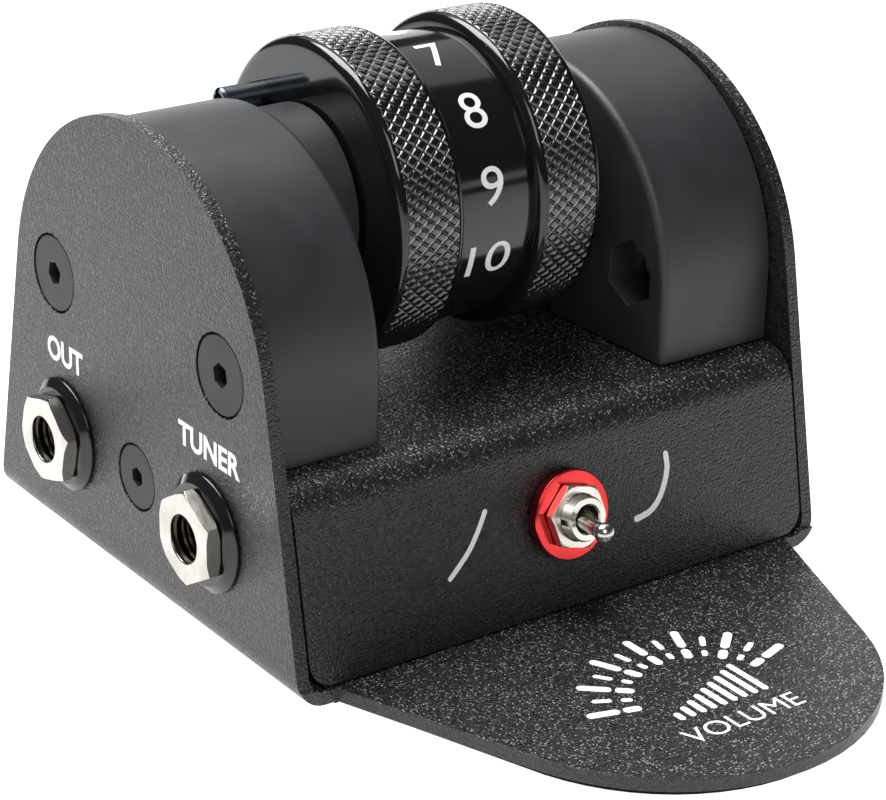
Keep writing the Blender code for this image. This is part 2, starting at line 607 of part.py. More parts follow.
# ---- roller ----------------------------------------------------------------------------------
def drum_rings():
    """Half of the roller's profile, from its end face to its middle, as (radius, distance)."""
    knurl_end = BAND_WIDTH / 2 + (DRUM_END - BAND_WIDTH / 2 - KNURL_WIDTH) / 2 + KNURL_WIDTH
    knurl_start = knurl_end - KNURL_WIDTH
    rings = [(AXLE_RADIUS + HOLE, DRUM_END - DRUM_RECESS[1]), (DRUM_RECESS[0], DRUM_END - DRUM_RECESS[1])]
    rings += [(DRUM_RECESS[0], DRUM_END), (FACE_RADIUS, DRUM_END)]
    rise = KNURL_RADIUS - FACE_RADIUS
    run = DRUM_END - knurl_end
    for degrees in (30, 60, 90):
        turn = math.radians(degrees)
        rings.append((FACE_RADIUS + rise * math.sin(turn), DRUM_END - run * (1 - math.cos(turn))))
    gap = knurl_start - BAND_WIDTH / 2
    drop = KNURL_RADIUS - BAND_RADIUS
    for degrees in (0, 30, 60, 90):
        turn = math.radians(degrees)
        rings.append((BAND_RADIUS + drop * math.cos(turn), knurl_start - gap * math.sin(turn)))
    return rings


def roller(axis):
    """Drum, axle and everything else that turns with them."""
    at = axis.location
    half = drum_rings()
    rings = [(r, x) for r, x in half] + [(r, -x) for r, x in reversed(half)]
    drum = turned("roller_drum", rings, "black_anodised", ROUND, True, at=at, turn=ACROSS, parent=axis)
    pin_y, pin_z = on_orbit(STOP_ORBIT, STOP_PIN_ANGLE)
    pin_at = (0, pin_y, pin_z)
    hole_end = -(DRUM_END - STOP_PIN_SUNK - SEAT)
    hole = rod("cut_stop_pin_hole", STOP_PIN_RADIUS + HOLE, -(DRUM_END + THROUGH), hole_end, None,
               at=pin_at, turn=ACROSS)
    combine(drum, [hole])
    stop_pin(axis, pin_at)

    axle_left = SEAT / 2 - COUPLER_MID
    axle_right = BEARING_END + AXLE_OVERHANG
    groove = BEARING_END + 2 * SEAT + RETAINER[1] / 2
    neck = AXLE_RADIUS - RETAINER[1]
    wide = RETAINER[1] / 2 + SEAT
    profile = [(AXLE_RADIUS - CHAMFER, axle_left), (AXLE_RADIUS, axle_left + CHAMFER)]
    profile += [(AXLE_RADIUS, groove - wide), (neck, groove - wide), (neck, groove + wide)]
    profile += [(AXLE_RADIUS, groove + wide), (AXLE_RADIUS, axle_right - CHAMFER)]
    profile += [(AXLE_RADIUS - CHAMFER, axle_right)]
    turned("axle", profile, "steel", at=at, turn=ACROSS, parent=axis)
    tube("retaining_ring", neck + HOLE, RETAINER[0], groove - RETAINER[1] / 2, groove + RETAINER[1] / 2,
         "steel", at=at, turn=ACROSS, parent=axis)
    inner = AXLE_RADIUS + HOLE
    for sign, side in ((-1, "left"), (1, "right")):
        start, end = sorted((sign * (DRUM_END - DRUM_RECESS[1] + SEAT), sign * (BEARING_START - SEAT)))
        tube(f"{side}_spacer", inner, SPACER_RADIUS, start, end, "nickel", at=at, turn=ACROSS, parent=axis)
    coupler(axis, inner)
    start, end = -(POT_START - SEAT - POT_THREAD), -(COUPLER_MID + SEAT / 2)
    rod("pot_shaft", POT_SHAFT_RADIUS, start, end, "steel", at=at, turn=ACROSS, parent=axis)


def coupler(axis, axle_bore):
    """Stepped sleeve that joins the axle to the thinner shaft of the potentiometer."""
    start, end = -(COUPLER_START + COUPLER_LENGTH), -COUPLER_START
    narrow = POT_SHAFT_RADIUS + POT_PLAY
    rings = [(COUPLER_RADIUS - CHAMFER, start), (COUPLER_RADIUS, start + CHAMFER)]
    rings += [(COUPLER_RADIUS, end - CHAMFER), (COUPLER_RADIUS - CHAMFER, end)]
    rings += [(axle_bore, end), (axle_bore, -COUPLER_MID), (narrow, -COUPLER_MID), (narrow, start)]
    turned("shaft_coupler", rings, "nickel", bored=True, at=axis.location, turn=ACROSS, parent=axis)


def stop_pin(axis, at):
    """Slit spring pin that stands out of the roller's left end face."""
    tip = -(DRUM_END + STOP_PIN_PROUD)
    root = -(DRUM_END - STOP_PIN_SUNK)
    inner = STOP_PIN_RADIUS - STOP_PIN_WALL
    small = STOP_PIN_RADIUS - CHAMFER
    rings = [(small, tip), (STOP_PIN_RADIUS, tip + CHAMFER), (STOP_PIN_RADIUS, root - CHAMFER)]
    rings += [(small, root), (inner, root), (inner, tip)]
    pin = turned("stop_pin", rings, "steel", bored=True, at=at, turn=ACROSS, parent=axis)
    half = STOP_PIN_SLIT / 2
    low = (at[1] - half, at[2], tip - THROUGH)
    high = (at[1] + half, at[2] + 2 * STOP_PIN_RADIUS, root + THROUGH)
    return combine(pin, [block("cut_pin_slit", low, high, None, turn=ACROSS)])


def bearings():
    """One sealed ball bearing in each hub, drawn as a ring with its shield grooves."""
    bore = AXLE_RADIUS + BEARING_FIT
    race_in = bore + BEARING_RACE
    race_out = BEARING_RADIUS - BEARING_RACE
    for sign, side in ((-1, "left"), (1, "right")):
        near, far = sign * BEARING_START, sign * BEARING_END
        step = sign * BEARING_RACE / 3
        rings = [(bore, near), (race_in, near), (race_in, near + step), (race_out, near + step)]
        rings += [(race_out, near), (BEARING_RADIUS, near), (BEARING_RADIUS, far), (race_out, far)]
        rings += [(race_out, far - step), (race_in, far - step), (race_in, far), (bore, far)]
        turned(f"{side}_bearing", rings, "steel", bored=True, at=(0, 0, AXLE_Z), turn=ACROSS)


def travel_stop():
    """Curved block on the left cheek that the stop pin meets at both ends of its travel."""
    clear = math.degrees((STOP_PIN_RADIUS + HOLE) / STOP_ORBIT)
    half = TRAVEL_GAP - clear
    spans = [TRAVEL_STOP_ANGLE + half * (i / 4 - 1) for i in range(9)]
    inner = [on_orbit(STOP_ORBIT - STOP_BLOCK_HALF, t) for t in spans]
    outer = [on_orbit(STOP_ORBIT + STOP_BLOCK_HALF, t) for t in reversed(spans)]
    back = -(CHEEK_FACE[-1] - SEAT)
    front = back + STOP_BLOCK_LENGTH
    stop = prism("travel_stop", inner + outer, back, front, "gloss_black", turn=ACROSS)
    y, z = on_orbit(STOP_ORBIT, TRAVEL_STOP_ANGLE)
    head, rim, shank = STOP_SCREW["head"], STOP_SCREW["rim"], STOP_SCREW["shank"]
    seat = front - SMALL_STEP - rim - SEAT
    rings = [(head + HOLE, front + THROUGH), (head + HOLE, seat), (shank + HOLE, seat)]
    rings += [(shank + HOLE, back - THROUGH)]
    combine(stop, [turned("cut_travel_stop_hole", rings, None, at=(0, y, z), turn=ACROSS)])
    face = front - SMALL_STEP
    socket = STOP_SCREW["socket"]
    profile = [(socket, face - 2 * CHAMFER, socket), (socket, face, socket)]
    profile += [(head, face), (head, face - rim), (shank, face - rim)]
    profile += [(shank, back - STOP_SCREW["length"] + SEAT + HOLE)]
    turned("travel_stop_screw", profile, "steel", at=(0, y, z), turn=ACROSS)


# ---- potentiometer ---------------------------------------------------------------------------
def potentiometer():
    """Fixed half of the potentiometer, its nut and the ribbon lead down to the board."""
    at = (0, 0, AXLE_Z)
    body = rod("pot_body", POT_RADIUS, -POT_END, -POT_START, "steel", ROUND, at=at, turn=ACROSS)
    along, across, drop = POT_TERMINALS
    low = (-LEAD_X - along / 2, -across / 2, AXLE_Z - POT_RADIUS - drop)
    high = (-LEAD_X + along / 2, across / 2, AXLE_Z - POT_RADIUS / 2)
    combine(body, [block("join_pot_terminals", low, high, None)], "UNION")
    inner = POT_SHAFT_RADIUS + POT_PLAY
    start, end = -(POT_START - SEAT), -(POT_NUT_START - SEAT)
    tube("pot_bushing", inner, POT_THREAD, start, end, "nickel", ROUND, at=at, turn=ACROSS)
    nut("pot_nut", POT_NUT, POT_THREAD + HOLE, -POT_NUT_END, 1, "nickel", at, turn=ACROSS)
    ribbon()


def ribbon():
    """Flat lead from the potentiometer's terminals, through the deck, to the circuit board."""
    half = RIBBON[0] / 2
    board_top = BASE_TOP + BOARD_LIFT + SEAT + BOARD[2]
    start = AXLE_Z - POT_RADIUS - POT_TERMINALS[2] - SEAT
    fold = board_top + RIBBON_LIFT
    sag = RIBBON_LIFT / 2
    end_x = -(BOARD[0] / 2 - POT_TERMINALS[0])
    middle = [(-LEAD_X, start), (-LEAD_X, fold + sag), (-LEAD_X + sag / 2, fold)]
    middle += [(end_x - sag, fold - sag / 3), (end_x, fold - sag), (end_x, board_top + SEAT)]
    left, right = [], []
    for i, (x, z) in enumerate(middle):
        before = Vector(middle[max(i - 1, 0)])
        after = Vector(middle[min(i + 1, len(middle) - 1)])
        along = (after - before).normalized()
        left.append((x + along.y * RIBBON[1] / 2, z - along.x * RIBBON[1] / 2))
        right.append((x - along.y * RIBBON[1] / 2, z + along.x * RIBBON[1] / 2))
    outline = [(x, z) for x, z in left + right[::-1]]
    return prism("pot_ribbon", outline, -half, half, "ribbon_grey", turn=Euler((math.pi / 2, 0, 0)))


# ---- jack sockets ----------------------------------------------------------------------------
def jack(name, sign, y):
    """One socket: body with tip contact inside the wall, sleeve, dress ring and nut outside."""
    at = (0, y, JACK_Z)
    ring_start = WALL_OUTER + SEAT / 2
    ring_end = WALL_OUTER + JACK_RING[1]
    nut_start = ring_end + SEAT / 2
    nut_end = nut_start + JACK_NUT[1]
    bore = JACK_THREAD + HOLE
    outer = JACK_RING[0]
    rings = [(outer, ring_start), (outer, ring_end - CHAMFER), (outer - CHAMFER, ring_end)]
    rings += [(bore, ring_end), (bore, ring_start)]
    rings = [(radius, sign * height) for radius, height in rings]
    turned(f"jack_{name}_ring", rings, "gloss_black", ROUND, bored=True, at=at, turn=ACROSS)
    nut(f"jack_{name}_nut", JACK_NUT, bore, sign * nut_start, sign, "nickel", at, turn=ACROSS)

    body_front = WALL_INNER - SIDE
    body_back = body_front - JACK_BODY[2]
    sleeve_back = body_front - JACK_THREAD_SUNK
    end = nut_end - SMALL_STEP
    lip = CHAMFER / 2
    rings = [(JACK_BORE + lip, end), (JACK_THREAD - lip, end), (JACK_THREAD, end - lip)]
    rings += [(JACK_THREAD, sleeve_back), (JACK_BORE, sleeve_back), (JACK_BORE, end - lip)]
    rings = [(radius, sign * height) for radius, height in rings]
    turned(f"jack_{name}_sleeve", rings, "nickel", bored=True, at=at, turn=ACROSS)

    half_y, half_z = JACK_BODY[0] / 2, JACK_BODY[1] / 2
    start, stop = sorted((sign * body_back, sign * body_front))
    body = block(f"jack_{name}_body", (-half_y, -half_z, start), (half_y, half_z, stop), "gloss_black",
                 at=at, turn=ACROSS)
    rings = [(JACK_THREAD + HOLE, body_front + THROUGH), (JACK_THREAD + HOLE, sleeve_back - SEAT)]
    rings += [(JACK_BORE, sleeve_back - SEAT), (JACK_BORE, body_back - THROUGH)]
    rings = [(radius, sign * height) for radius, height in rings]
    cuts = [turned(f"cut_jack_{name}_bore", rings, None, at=at, turn=ACROSS)]
    width = JACK_SPRING[0] / 2 + SEAT
    slot_end = body_front - JACK_THREAD_SUNK - THROUGH
    start, stop = sorted((sign * (body_back - THROUGH), sign * slot_end))
    low = (-width, JACK_BORE / 2, start)
    high = (width, JACK_BORE + JACK_SPRING_RISE + 2 * JACK_SPRING[1], stop)
    cuts.append(block(f"cut_jack_{name}_slot", low, high, None, at=at, turn=ACROSS))
    combine(body, cuts)
    jack_spring(name, sign, at, body_back, slot_end)


def jack_spring(name, sign, at, back, front):
    """Bent leaf above the bore that touches a plug's tip."""
    half = JACK_SPRING[0] / 2
    thick = JACK_SPRING[1]
    low = JACK_BORE + SMALL_STEP
    high = low + JACK_SPRING_RISE
    reach = front - 2 * SEAT
    bend = JACK_SPRING_RISE * 2
    upper = [(back - bend / 3, high), (back + bend, high), (reach - bend, low), (reach, low + bend / 6)]
    outline = [(sign * x, z) for x, z in upper] + [(sign * x, z + thick) for x, z in reversed(upper)]
    moved = [(x, z + at[2]) for x, z in outline]
    upright = Euler((math.pi / 2, 0, 0))
    prism(f"jack_{name}_spring", moved, -at[1] - half, -at[1] + half, "spring_bronze", turn=upright)


# ---- toggle switch ---------------------------------------------------------------------------
def toggle_frame():
    """(location, rotation) of the switch on the sloping deck face: local Z points out of it."""
    lean = wall_lean()
    foot = Vector((0, -DEPTH / 2, BASE_BOTTOM))
    up = Vector((0, math.sin(lean), math.cos(lean)))
    return foot + up * TOGGLE_UP, Euler((math.pi / 2 - lean, 0, 0))


def toggle_piece(make, *args, **kwargs):
    """Make a piece in the switch's own frame."""
    at, turn = toggle_frame()
    return make(*args, at=at, turn=turn, **kwargs)


def toggle_switch():
    """Switch body, bushing, nut and red dress ring."""
    back = -DECK_SHEET - SEAT
    half_x, half_y = TOGGLE_BODY[0] / 2, TOGGLE_BODY[1] / 2
    low = (-half_x, -half_y, back - TOGGLE_BODY[2])
    body = toggle_piece(block, "toggle_body", low, (half_x, half_y, back), "red_anodised")
    depth = back - TOGGLE_BODY[2] / 2
    well = toggle_piece(rod, "cut_toggle_well", TOGGLE_BORE + HOLE, depth, back + THROUGH, None)
    combine(body, [well])
    bore = TOGGLE_THREAD + HOLE / 2
    ring_end = TOGGLE_RING[1] + SEAT / 2
    outer = TOGGLE_RING[0]
    rings = [(outer, SEAT / 2), (outer, ring_end - CHAMFER), (outer - CHAMFER, ring_end)]
    rings += [(bore, ring_end), (bore, SEAT / 2)]
    toggle_piece(turned, "toggle_ring", rings, "red_anodised", ROUND, bored=True)
    at, turn = toggle_frame()
    nut("toggle_nut", TOGGLE_NUT, bore, ring_end + SEAT / 2, 1, "nickel", at, turn=turn)
    rings = [(TOGGLE_BORE, TOGGLE_MOUTH), (TOGGLE_THREAD - CHAMFER, TOGGLE_MOUTH)]
    rings += [(TOGGLE_THREAD, TOGGLE_MOUTH - CHAMFER), (TOGGLE_THREAD, back + SEAT / 2)]
    rings += [(TOGGLE_BORE, back + SEAT / 2)]
    toggle_piece(turned, "toggle_bushing", rings, "nickel", bored=True)


def toggle_lever(axis):
    """Bat lever that swings left and right about its ball."""
    def dome(radius, centre, start, end):
        """Rings of part of a ball, between two latitudes in degrees."""
        turns = [math.radians(start + (end - start) * i / 4) for i in range(5)]
        return [(radius * math.cos(t), centre + radius * math.sin(t)) for t in turns]

    tail = LEVER_RADIUS * 2 / 3
    rings = [(tail, -LEVER_TAIL), (tail, -LEVER_BALL)]
    rings += dome(LEVER_BALL, 0, -60, 50)
    rings += [(LEVER_RADIUS, LEVER_BALL + CHAMFER), (LEVER_RADIUS, LEVER_LENGTH - LEVER_TIP - CHAMFER)]
    rings += dome(LEVER_TIP, LEVER_LENGTH, -45, 85)
    lean = wall_lean()
    upright = Euler((math.pi / 2 - lean, 0, 0)).to_matrix()
    turn = (upright @ Euler((0, -math.radians(LEVER_LEAN), 0)).to_matrix()).to_euler()
    return turned("toggle_lever", rings, "nickel", at=axis.location, turn=turn, parent=axis)


# ---- circuit board ---------------------------------------------------------------------------
def circuit_board():
    """Buffer board on two standoffs between the jacks."""
    low_z = BASE_TOP + BOARD_LIFT + SEAT
    low = (-BOARD[0] / 2, BOARD_Y - BOARD[1] / 2, low_z)
    high = (BOARD[0] / 2, BOARD_Y + BOARD[1] / 2, low_z + BOARD[2])
    board = block("circuit_board", low, high, "board_green")
    half, tall = CHIP[0] / 2, CHIP[1]
    chips = []
    for column in (-1, 1):
        for row in (-1, 1):
            x, y = column * BOARD[0] / 4, BOARD_Y + row * BOARD[1] / 7
            chip_low = (x - half, y - half, low_z + BOARD[2] / 2)
            chip_high = (x + half, y + half, low_z + BOARD[2] + tall)
            chips.append(block(f"join_chip_{column}_{row}", chip_low, chip_high, None))
    combine(board, chips, "UNION")
    for y, name in ((BOARD_Y - BOARD[1] / 3, "front"), (BOARD_Y + BOARD[1] / 3, "rear")):
        rings = [(STANDOFF_RADIUS, BASE_TOP + SEAT, 2 * STANDOFF_RADIUS)]
        rings += [(STANDOFF_RADIUS, BASE_TOP + BOARD_LIFT, 2 * STANDOFF_RADIUS)]
        turned(f"board_standoff_{name}", rings, "nickel", at=(0, y, 0))


def main():
    """Build every piece of the pedal."""
    clear_scene()
    chassis()
    base_pad()
    deck_cover()
    left_cheek()
    right_cheek()
    fasteners()
    roller(pivot("roller_pivot", (0, 0, AXLE_Z)))
    bearings()
    travel_stop()
    potentiometer()
    for name, (sign, y) in JACKS.items():
        jack(name, sign, y)
    toggle_switch()
    at, _ = toggle_frame()
    lean = wall_lean()
    outwards = Vector((0, -math.cos(lean), math.sin(lean)))
    toggle_lever(pivot("toggle_pivot", at + outwards * LEVER_PIVOT))
    circuit_board()


main()
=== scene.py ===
"""Looks of a roller volume pedal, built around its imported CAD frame.

Each sub-assembly is a class that models its pieces and dresses them. Lengths are in metres and the frame is the
CAD's: X along the roller's axle, -Y towards the toe plate, Z up from the floor.
"""

from __future__ import annotations

import logging
import math
from collections.abc import Iterator, Mapping, Sequence
from contextlib import contextmanager
from dataclasses import dataclass
from enum import Enum

import bmesh
import bpy
from mathutils import Matrix, Vector


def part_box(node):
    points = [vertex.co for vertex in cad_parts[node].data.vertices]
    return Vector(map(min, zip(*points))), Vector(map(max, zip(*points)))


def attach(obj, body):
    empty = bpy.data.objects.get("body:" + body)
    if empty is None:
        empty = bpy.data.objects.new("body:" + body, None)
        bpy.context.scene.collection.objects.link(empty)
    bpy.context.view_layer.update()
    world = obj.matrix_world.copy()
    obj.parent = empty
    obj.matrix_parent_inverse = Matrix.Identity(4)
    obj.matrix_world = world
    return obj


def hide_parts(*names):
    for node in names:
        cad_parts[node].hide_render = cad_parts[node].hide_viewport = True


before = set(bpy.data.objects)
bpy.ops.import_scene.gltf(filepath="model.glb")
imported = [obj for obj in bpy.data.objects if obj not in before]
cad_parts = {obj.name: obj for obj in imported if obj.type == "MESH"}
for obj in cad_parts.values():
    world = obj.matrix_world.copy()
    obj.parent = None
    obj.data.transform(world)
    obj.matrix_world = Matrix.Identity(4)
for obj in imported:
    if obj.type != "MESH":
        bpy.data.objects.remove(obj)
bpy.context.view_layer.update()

MM = 0.001
LOG = logging.getLogger("pedal")

Colour = tuple[float, float, float]
Point = tuple[float, float]
Ring = tuple[float, float]
Piece = bpy.types.Object

PRINT_DEPTH = 0.03 * MM
WELD = 1e-6
FINE = 96
COARSE = 48


class Body(Enum):
    """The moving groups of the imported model."""

    PEDAL = "pedal"
    ROLLER = "roller"
    LEVER = "lever"


class Side(Enum):
    """Which side wall a piece belongs to, as the sign of its X."""

    LEFT = -1
    RIGHT = 1


# ---- places ------------------------------------------------------------------------------------
@dataclass(frozen=True)
class Place:
    """A spot on the pedal with its own right, up and outward directions."""

    at: Vector
    right: Vector
    up: Vector

    def matrix(self) -> Matrix:
        """The transform from this place's own axes to the frame.

        Returns:
            The matrix.
        """
        out = self.right.cross(self.up)
        turn = Matrix((self.right, self.up, out)).transposed().to_4x4()
        return Matrix.Translation(self.at) @ turn

    def shifted(self, right: float = 0.0, up: float = 0.0, out: float = 0.0) -> Place:
        """The same directions at a point offset along them."""
        step = self.right * right + self.up * up + self.right.cross(self.up) * out
        return Place(self.at + step, self.right, self.up)


def wall_place(side: Side, x: float, y: float, z: float) -> Place:
    """A place on a side wall that faces away from the pedal."""
    return Place(Vector((side.value * x, y, z)), Vector((0, side.value, 0)), Vector((0, 0, 1)))


def axle_place(centre: Vector) -> Place:
    """A place on the roller's axis, with its outward direction along +X."""
    return Place(centre, Vector((0, 1, 0)), Vector((0, 0, 1)))


# ---- the bench: modelling with Blender's own tools ------------------------------------------------
def select_only(piece: Piece) -> None:
    """Make a piece the only selected one, and the active one.

    Args:
        piece: the piece to select.
    """
    bpy.ops.object.select_all(action="DESELECT")
    piece.select_set(True)
    bpy.context.view_layer.objects.active = piece


@contextmanager
def editing(piece: Piece, mode: str = "FACE") -> Iterator[bmesh.types.BMesh]:
    """Open a piece in edit mode with everything selected, and close it afterwards.

    Args:
        piece: the piece to edit.
        mode: the select mode, VERT, EDGE or FACE.

    Returns:
        The mesh that is being edited, for as long as the block runs.
    """
    select_only(piece)
    bpy.ops.object.mode_set(mode="EDIT")
    bpy.ops.mesh.select_mode(type=mode)
    bpy.ops.mesh.select_all(action="SELECT")
    try:
        yield bmesh.from_edit_mesh(piece.data)
    finally:
        bpy.ops.object.mode_set(mode="OBJECT")


def named(name: str) -> Piece:
    """Give the active object and its mesh a name, and return it.

    Args:
        name: the new piece's name.

    Returns:
        The active object.
    """
    piece = bpy.context.object
    piece.name = name
    piece.data.name = name
    return piece


def apply_modifier(piece: Piece, kind: str, **settings: object) -> Piece:
    """Add one modifier with its settings and apply it.

    Args:
        piece: the piece that is changed.
        kind: Blender's name of the modifier's type.
        **settings: the modifier's own properties.

    Returns:
        The same piece.
    """
    modifier = piece.modifiers.new(kind.lower(), kind)
    for key, value in settings.items():
        setattr(modifier, key, value)
    select_only(piece)
    bpy.ops.object.modifier_apply(modifier=modifier.name)
    return piece


def carve(piece: Piece, tool: Piece, operation: str = "DIFFERENCE") -> Piece:
    """Cut, join or intersect a piece with a tool, which is then thrown away.

    Args:
        piece: the piece that is changed.
        tool: the closed mesh that works on it.
        operation: DIFFERENCE, UNION or INTERSECT.

    Returns:
        The same piece.
    """
    apply_modifier(piece, "BOOLEAN", operation=operation, solver="EXACT", object=tool)
    bpy.data.objects.remove(tool)
    return piece


def turned(name: str, rings: Sequence[Ring], sides: int = FINE, bored: bool = False) -> Piece:
    """Model a turned piece about local Z by extruding and scaling one ring after another.

    Args:
        name: the piece's name.
        rings: (radius, height) along the profile, from one end to the other.
        sides: how many sides each ring has.
        bored: whether the last ring is bridged to the first, which leaves a hole through the piece.

    Returns:
        The closed piece, facing outwards.
    """
    bpy.ops.object.select_all(action="DESELECT")
    radius, height = rings[0]
    fill = "NOTHING" if bored else "NGON"
    bpy.ops.mesh.primitive_circle_add(vertices=sides, radius=radius, fill_type=fill, location=(0, 0, height))
    piece = named(name)
    bpy.ops.object.transform_apply()
    with editing(piece, "EDGE" if bored else "FACE"):
        for before, after in zip(rings, rings[1:]):
            rise = {"value": (0, 0, after[1] - before[1])}
            bpy.ops.mesh.extrude_region_move(TRANSFORM_OT_translate=rise)
            grow = after[0] / before[0]
            bpy.ops.transform.resize(value=(grow, grow, 1), center_override=(0, 0, after[1]))
        if bored:
            bpy.ops.mesh.select_all(action="DESELECT")
            bpy.ops.mesh.select_non_manifold()
            bpy.ops.mesh.bridge_edge_loops()
        bpy.ops.mesh.select_all(action="SELECT")
        bpy.ops.mesh.normals_make_consistent(inside=False)
    return piece


def hexagonal(name: str, flats: float, start: float, end: float) -> Piece:
    """A hexagon bar along local Z, with flats its width across flats and a corner on local X."""
    corner = flats / 2 / math.cos(math.pi / 6)
    return turned(name, [(corner, start), (corner, end)], sides=6)


def block(name: str, low: Vector, high: Vector) -> Piece:
    """A plain block between two corners, used as a tool or as the start of a piece.

    Args:
        name: the new piece's name.
        low: its lowest corner.
        high: its highest corner.

    Returns:
        The block.
    """
    bpy.ops.object.select_all(action="DESELECT")
    bpy.ops.mesh.primitive_cube_add(size=1, location=(low + high) / 2)
    piece = named(name)
    piece.scale = high - low
    bpy.ops.object.transform_apply()
    return piece


def softened(piece: Piece, width: float, segments: int = 3, angle: float = 30.0) -> Piece:
    """Round a piece's edges with an applied bevel and shade it smooth.

    Args:
        piece: the piece to finish.
        width: how far the round reaches from each edge.
        segments: facets across the round.
        angle: the least angle, in degrees, of an edge that is rounded.

    Returns:
        The same piece.
    """
    apply_modifier(
        piece, "BEVEL", width=width, segments=segments, limit_method="ANGLE", angle_limit=math.radians(angle)
    )
    return shaded(piece)


def shaded(piece: Piece, angle: float = 50.0) -> Piece:
    """Shade a piece smooth except at sharp edges, with its large faces kept flat.

    Args:
        piece: the piece to shade.
        angle: the least angle, in degrees, of an edge that stays sharp.

    Returns:
        The same piece.
    """
    select_only(piece)
    bpy.ops.object.shade_smooth_by_angle(angle=math.radians(angle))
    return apply_modifier(piece, "WEIGHTED_NORMAL", keep_sharp=True)


def settled(piece: Piece, place: Place) -> Piece:
    """Move a piece from the bench to its place, with its object left at the origin.

    Args:
        piece: a piece made about the origin.
        place: where the piece sits on the pedal.

    Returns:
        The same piece.
    """
    select_only(piece)
    piece.matrix_world = place.matrix()
    bpy.ops.object.transform_apply()
    return piece


def from_node(name: str, node: str) -> Piece:
    """A workpiece with the shape of a CAD node, its triangles merged back into flat faces.

    Args:
        name: the new piece's name.
        node: the CAD node that it starts from.

    Returns:
        The new piece, ready for its edges to be softened.
    """
    piece = bpy.data.objects.new(name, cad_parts[node].data.copy())
    piece.data.name = name
    piece.data.materials.clear()
    bpy.context.scene.collection.objects.link(piece)
    select_only(piece)
    bpy.ops.mesh.customdata_custom_splitnormals_clear()
    with editing(piece, "VERT"):
        bpy.ops.mesh.remove_doubles(threshold=WELD)
        bpy.ops.mesh.dissolve_limited(angle_limit=math.radians(0.6))
    return piece


def delivered(piece: Piece, finish: Finish, body: Body, slot: str, *nodes: str) -> Piece:
    """Dress a finished piece, let it ride on its body and report it.

    Args:
        piece: the piece in its place.
        finish: what its surface is made of.
        body: the moving group that carries it.
        slot: the record's material slot; not used.
        *nodes: the CAD nodes that it stands for.

    Returns:
        The same piece.
    """
    piece.data.materials.clear()
    piece.data.materials.append(finish.material())
    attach(piece, body.value)
    if nodes:
        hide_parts(*nodes)
    LOG.info("%s: %d faces on %s", piece.name, len(piece.data.polygons), body.value)
    return piece


# ---- flat prints -----------------------------------------------------------------------------------
def stroke(path: Sequence[Point], width: float, taper: float = 1.0) -> list[Point]:
    """Outline of a painted stroke with round ends.

    Args:
        path: points along the middle of the stroke.
        width: its width at the first point.
        taper: its width at the last point as a share of the first.

    Returns:
        The outline's points in order.
    """
    points = [Vector(p) for p in path]
    left, right = [], []
    for i, point in enumerate(points):
        along = (points[min(i + 1, len(points) - 1)] - points[max(i - 1, 0)]).normalized()
        half = width / 2 * (1 + (taper - 1) * i / (len(points) - 1))
        side = Vector((-along.y, along.x)) * half
        left.append(point + side)
        right.append(point - side)
    outline = right + cap(points[-1], right[-1]) + left[::-1] + cap(points[0], left[0])
    return [(p.x, p.y) for p in outline]


def cap(centre: Vector, start: Vector, steps: int = 8) -> list[Vector]:
    """Half-round end of a stroke, from one of its sides round to the other.

    Args:
        centre: the end of the stroke's middle line.
        start: the side that the round starts from.
        steps: facets round it.

    Returns:
        The points between both sides.
    """
    arm = start - centre
    turns = [math.pi * i / steps for i in range(1, steps)]
    return [centre + Matrix.Rotation(turn, 2) @ arm for turn in turns]


def smooth_path(points: Sequence[Point], steps: int = 6) -> list[Point]:
    """A smooth curve through a few points.

    Args:
        points: what the curve passes through.
        steps: points made between each two.

    Returns:
        The curve's points.
    """
    ends = [points[0], *points, points[-1]]
    path = []
    for a, b, c, d in zip(ends, ends[1:], ends[2:], ends[3:]):
        for i in range(steps):
            t = i / steps
            path.append(tuple(catmull(a[k], b[k], c[k], d[k], t) for k in (0, 1)))
    return [*path, points[-1]]


def catmull(a: float, b: float, c: float, d: float, t: float) -> float:
    """One coordinate of a Catmull-Rom curve between b and c."""
    return b + t * (c - a + t * (2 * a - 5 * b + 4 * c - d + t * (3 * (b - c) + d - a))) / 2


def as_print(name: str) -> Piece:
    """Turn the active flat curve or text into a thin closed mesh.

    Args:
        name: the new piece's name.

    Returns:
        The mesh piece.
    """
    bpy.ops.object.convert(target="MESH")
    piece = named(name)
    with editing(piece, "VERT"):
        bpy.ops.mesh.remove_doubles(threshold=WELD)
        bpy.ops.mesh.normals_make_consistent(inside=False)
    return piece


def flat_print(name: str, outlines: Sequence[Sequence[Point]]) -> Piece:
    """Filled flat shapes, printed a little proud of the surface at local Z 0.

    Args:
        name: the piece's name.
        outlines: the shapes' outlines in local X and Y.

    Returns:
        One mesh piece, still at the origin.
    """
    curve = bpy.data.curves.new(name, "CURVE")
    curve.dimensions = "2D"
    curve.fill_mode = "BOTH"
    curve.extrude = PRINT_DEPTH
    for outline in outlines:
        spline = curve.splines.new("POLY")
        spline.points.add(len(outline) - 1)
        for point, (x, y) in zip(spline.points, outline):
            point.co = (x, y, 0, 1)
        spline.use_cyclic_u = True
    piece = bpy.data.objects.new(name, curve)
    bpy.context.scene.collection.objects.link(piece)
    select_only(piece)
    return as_print(name)


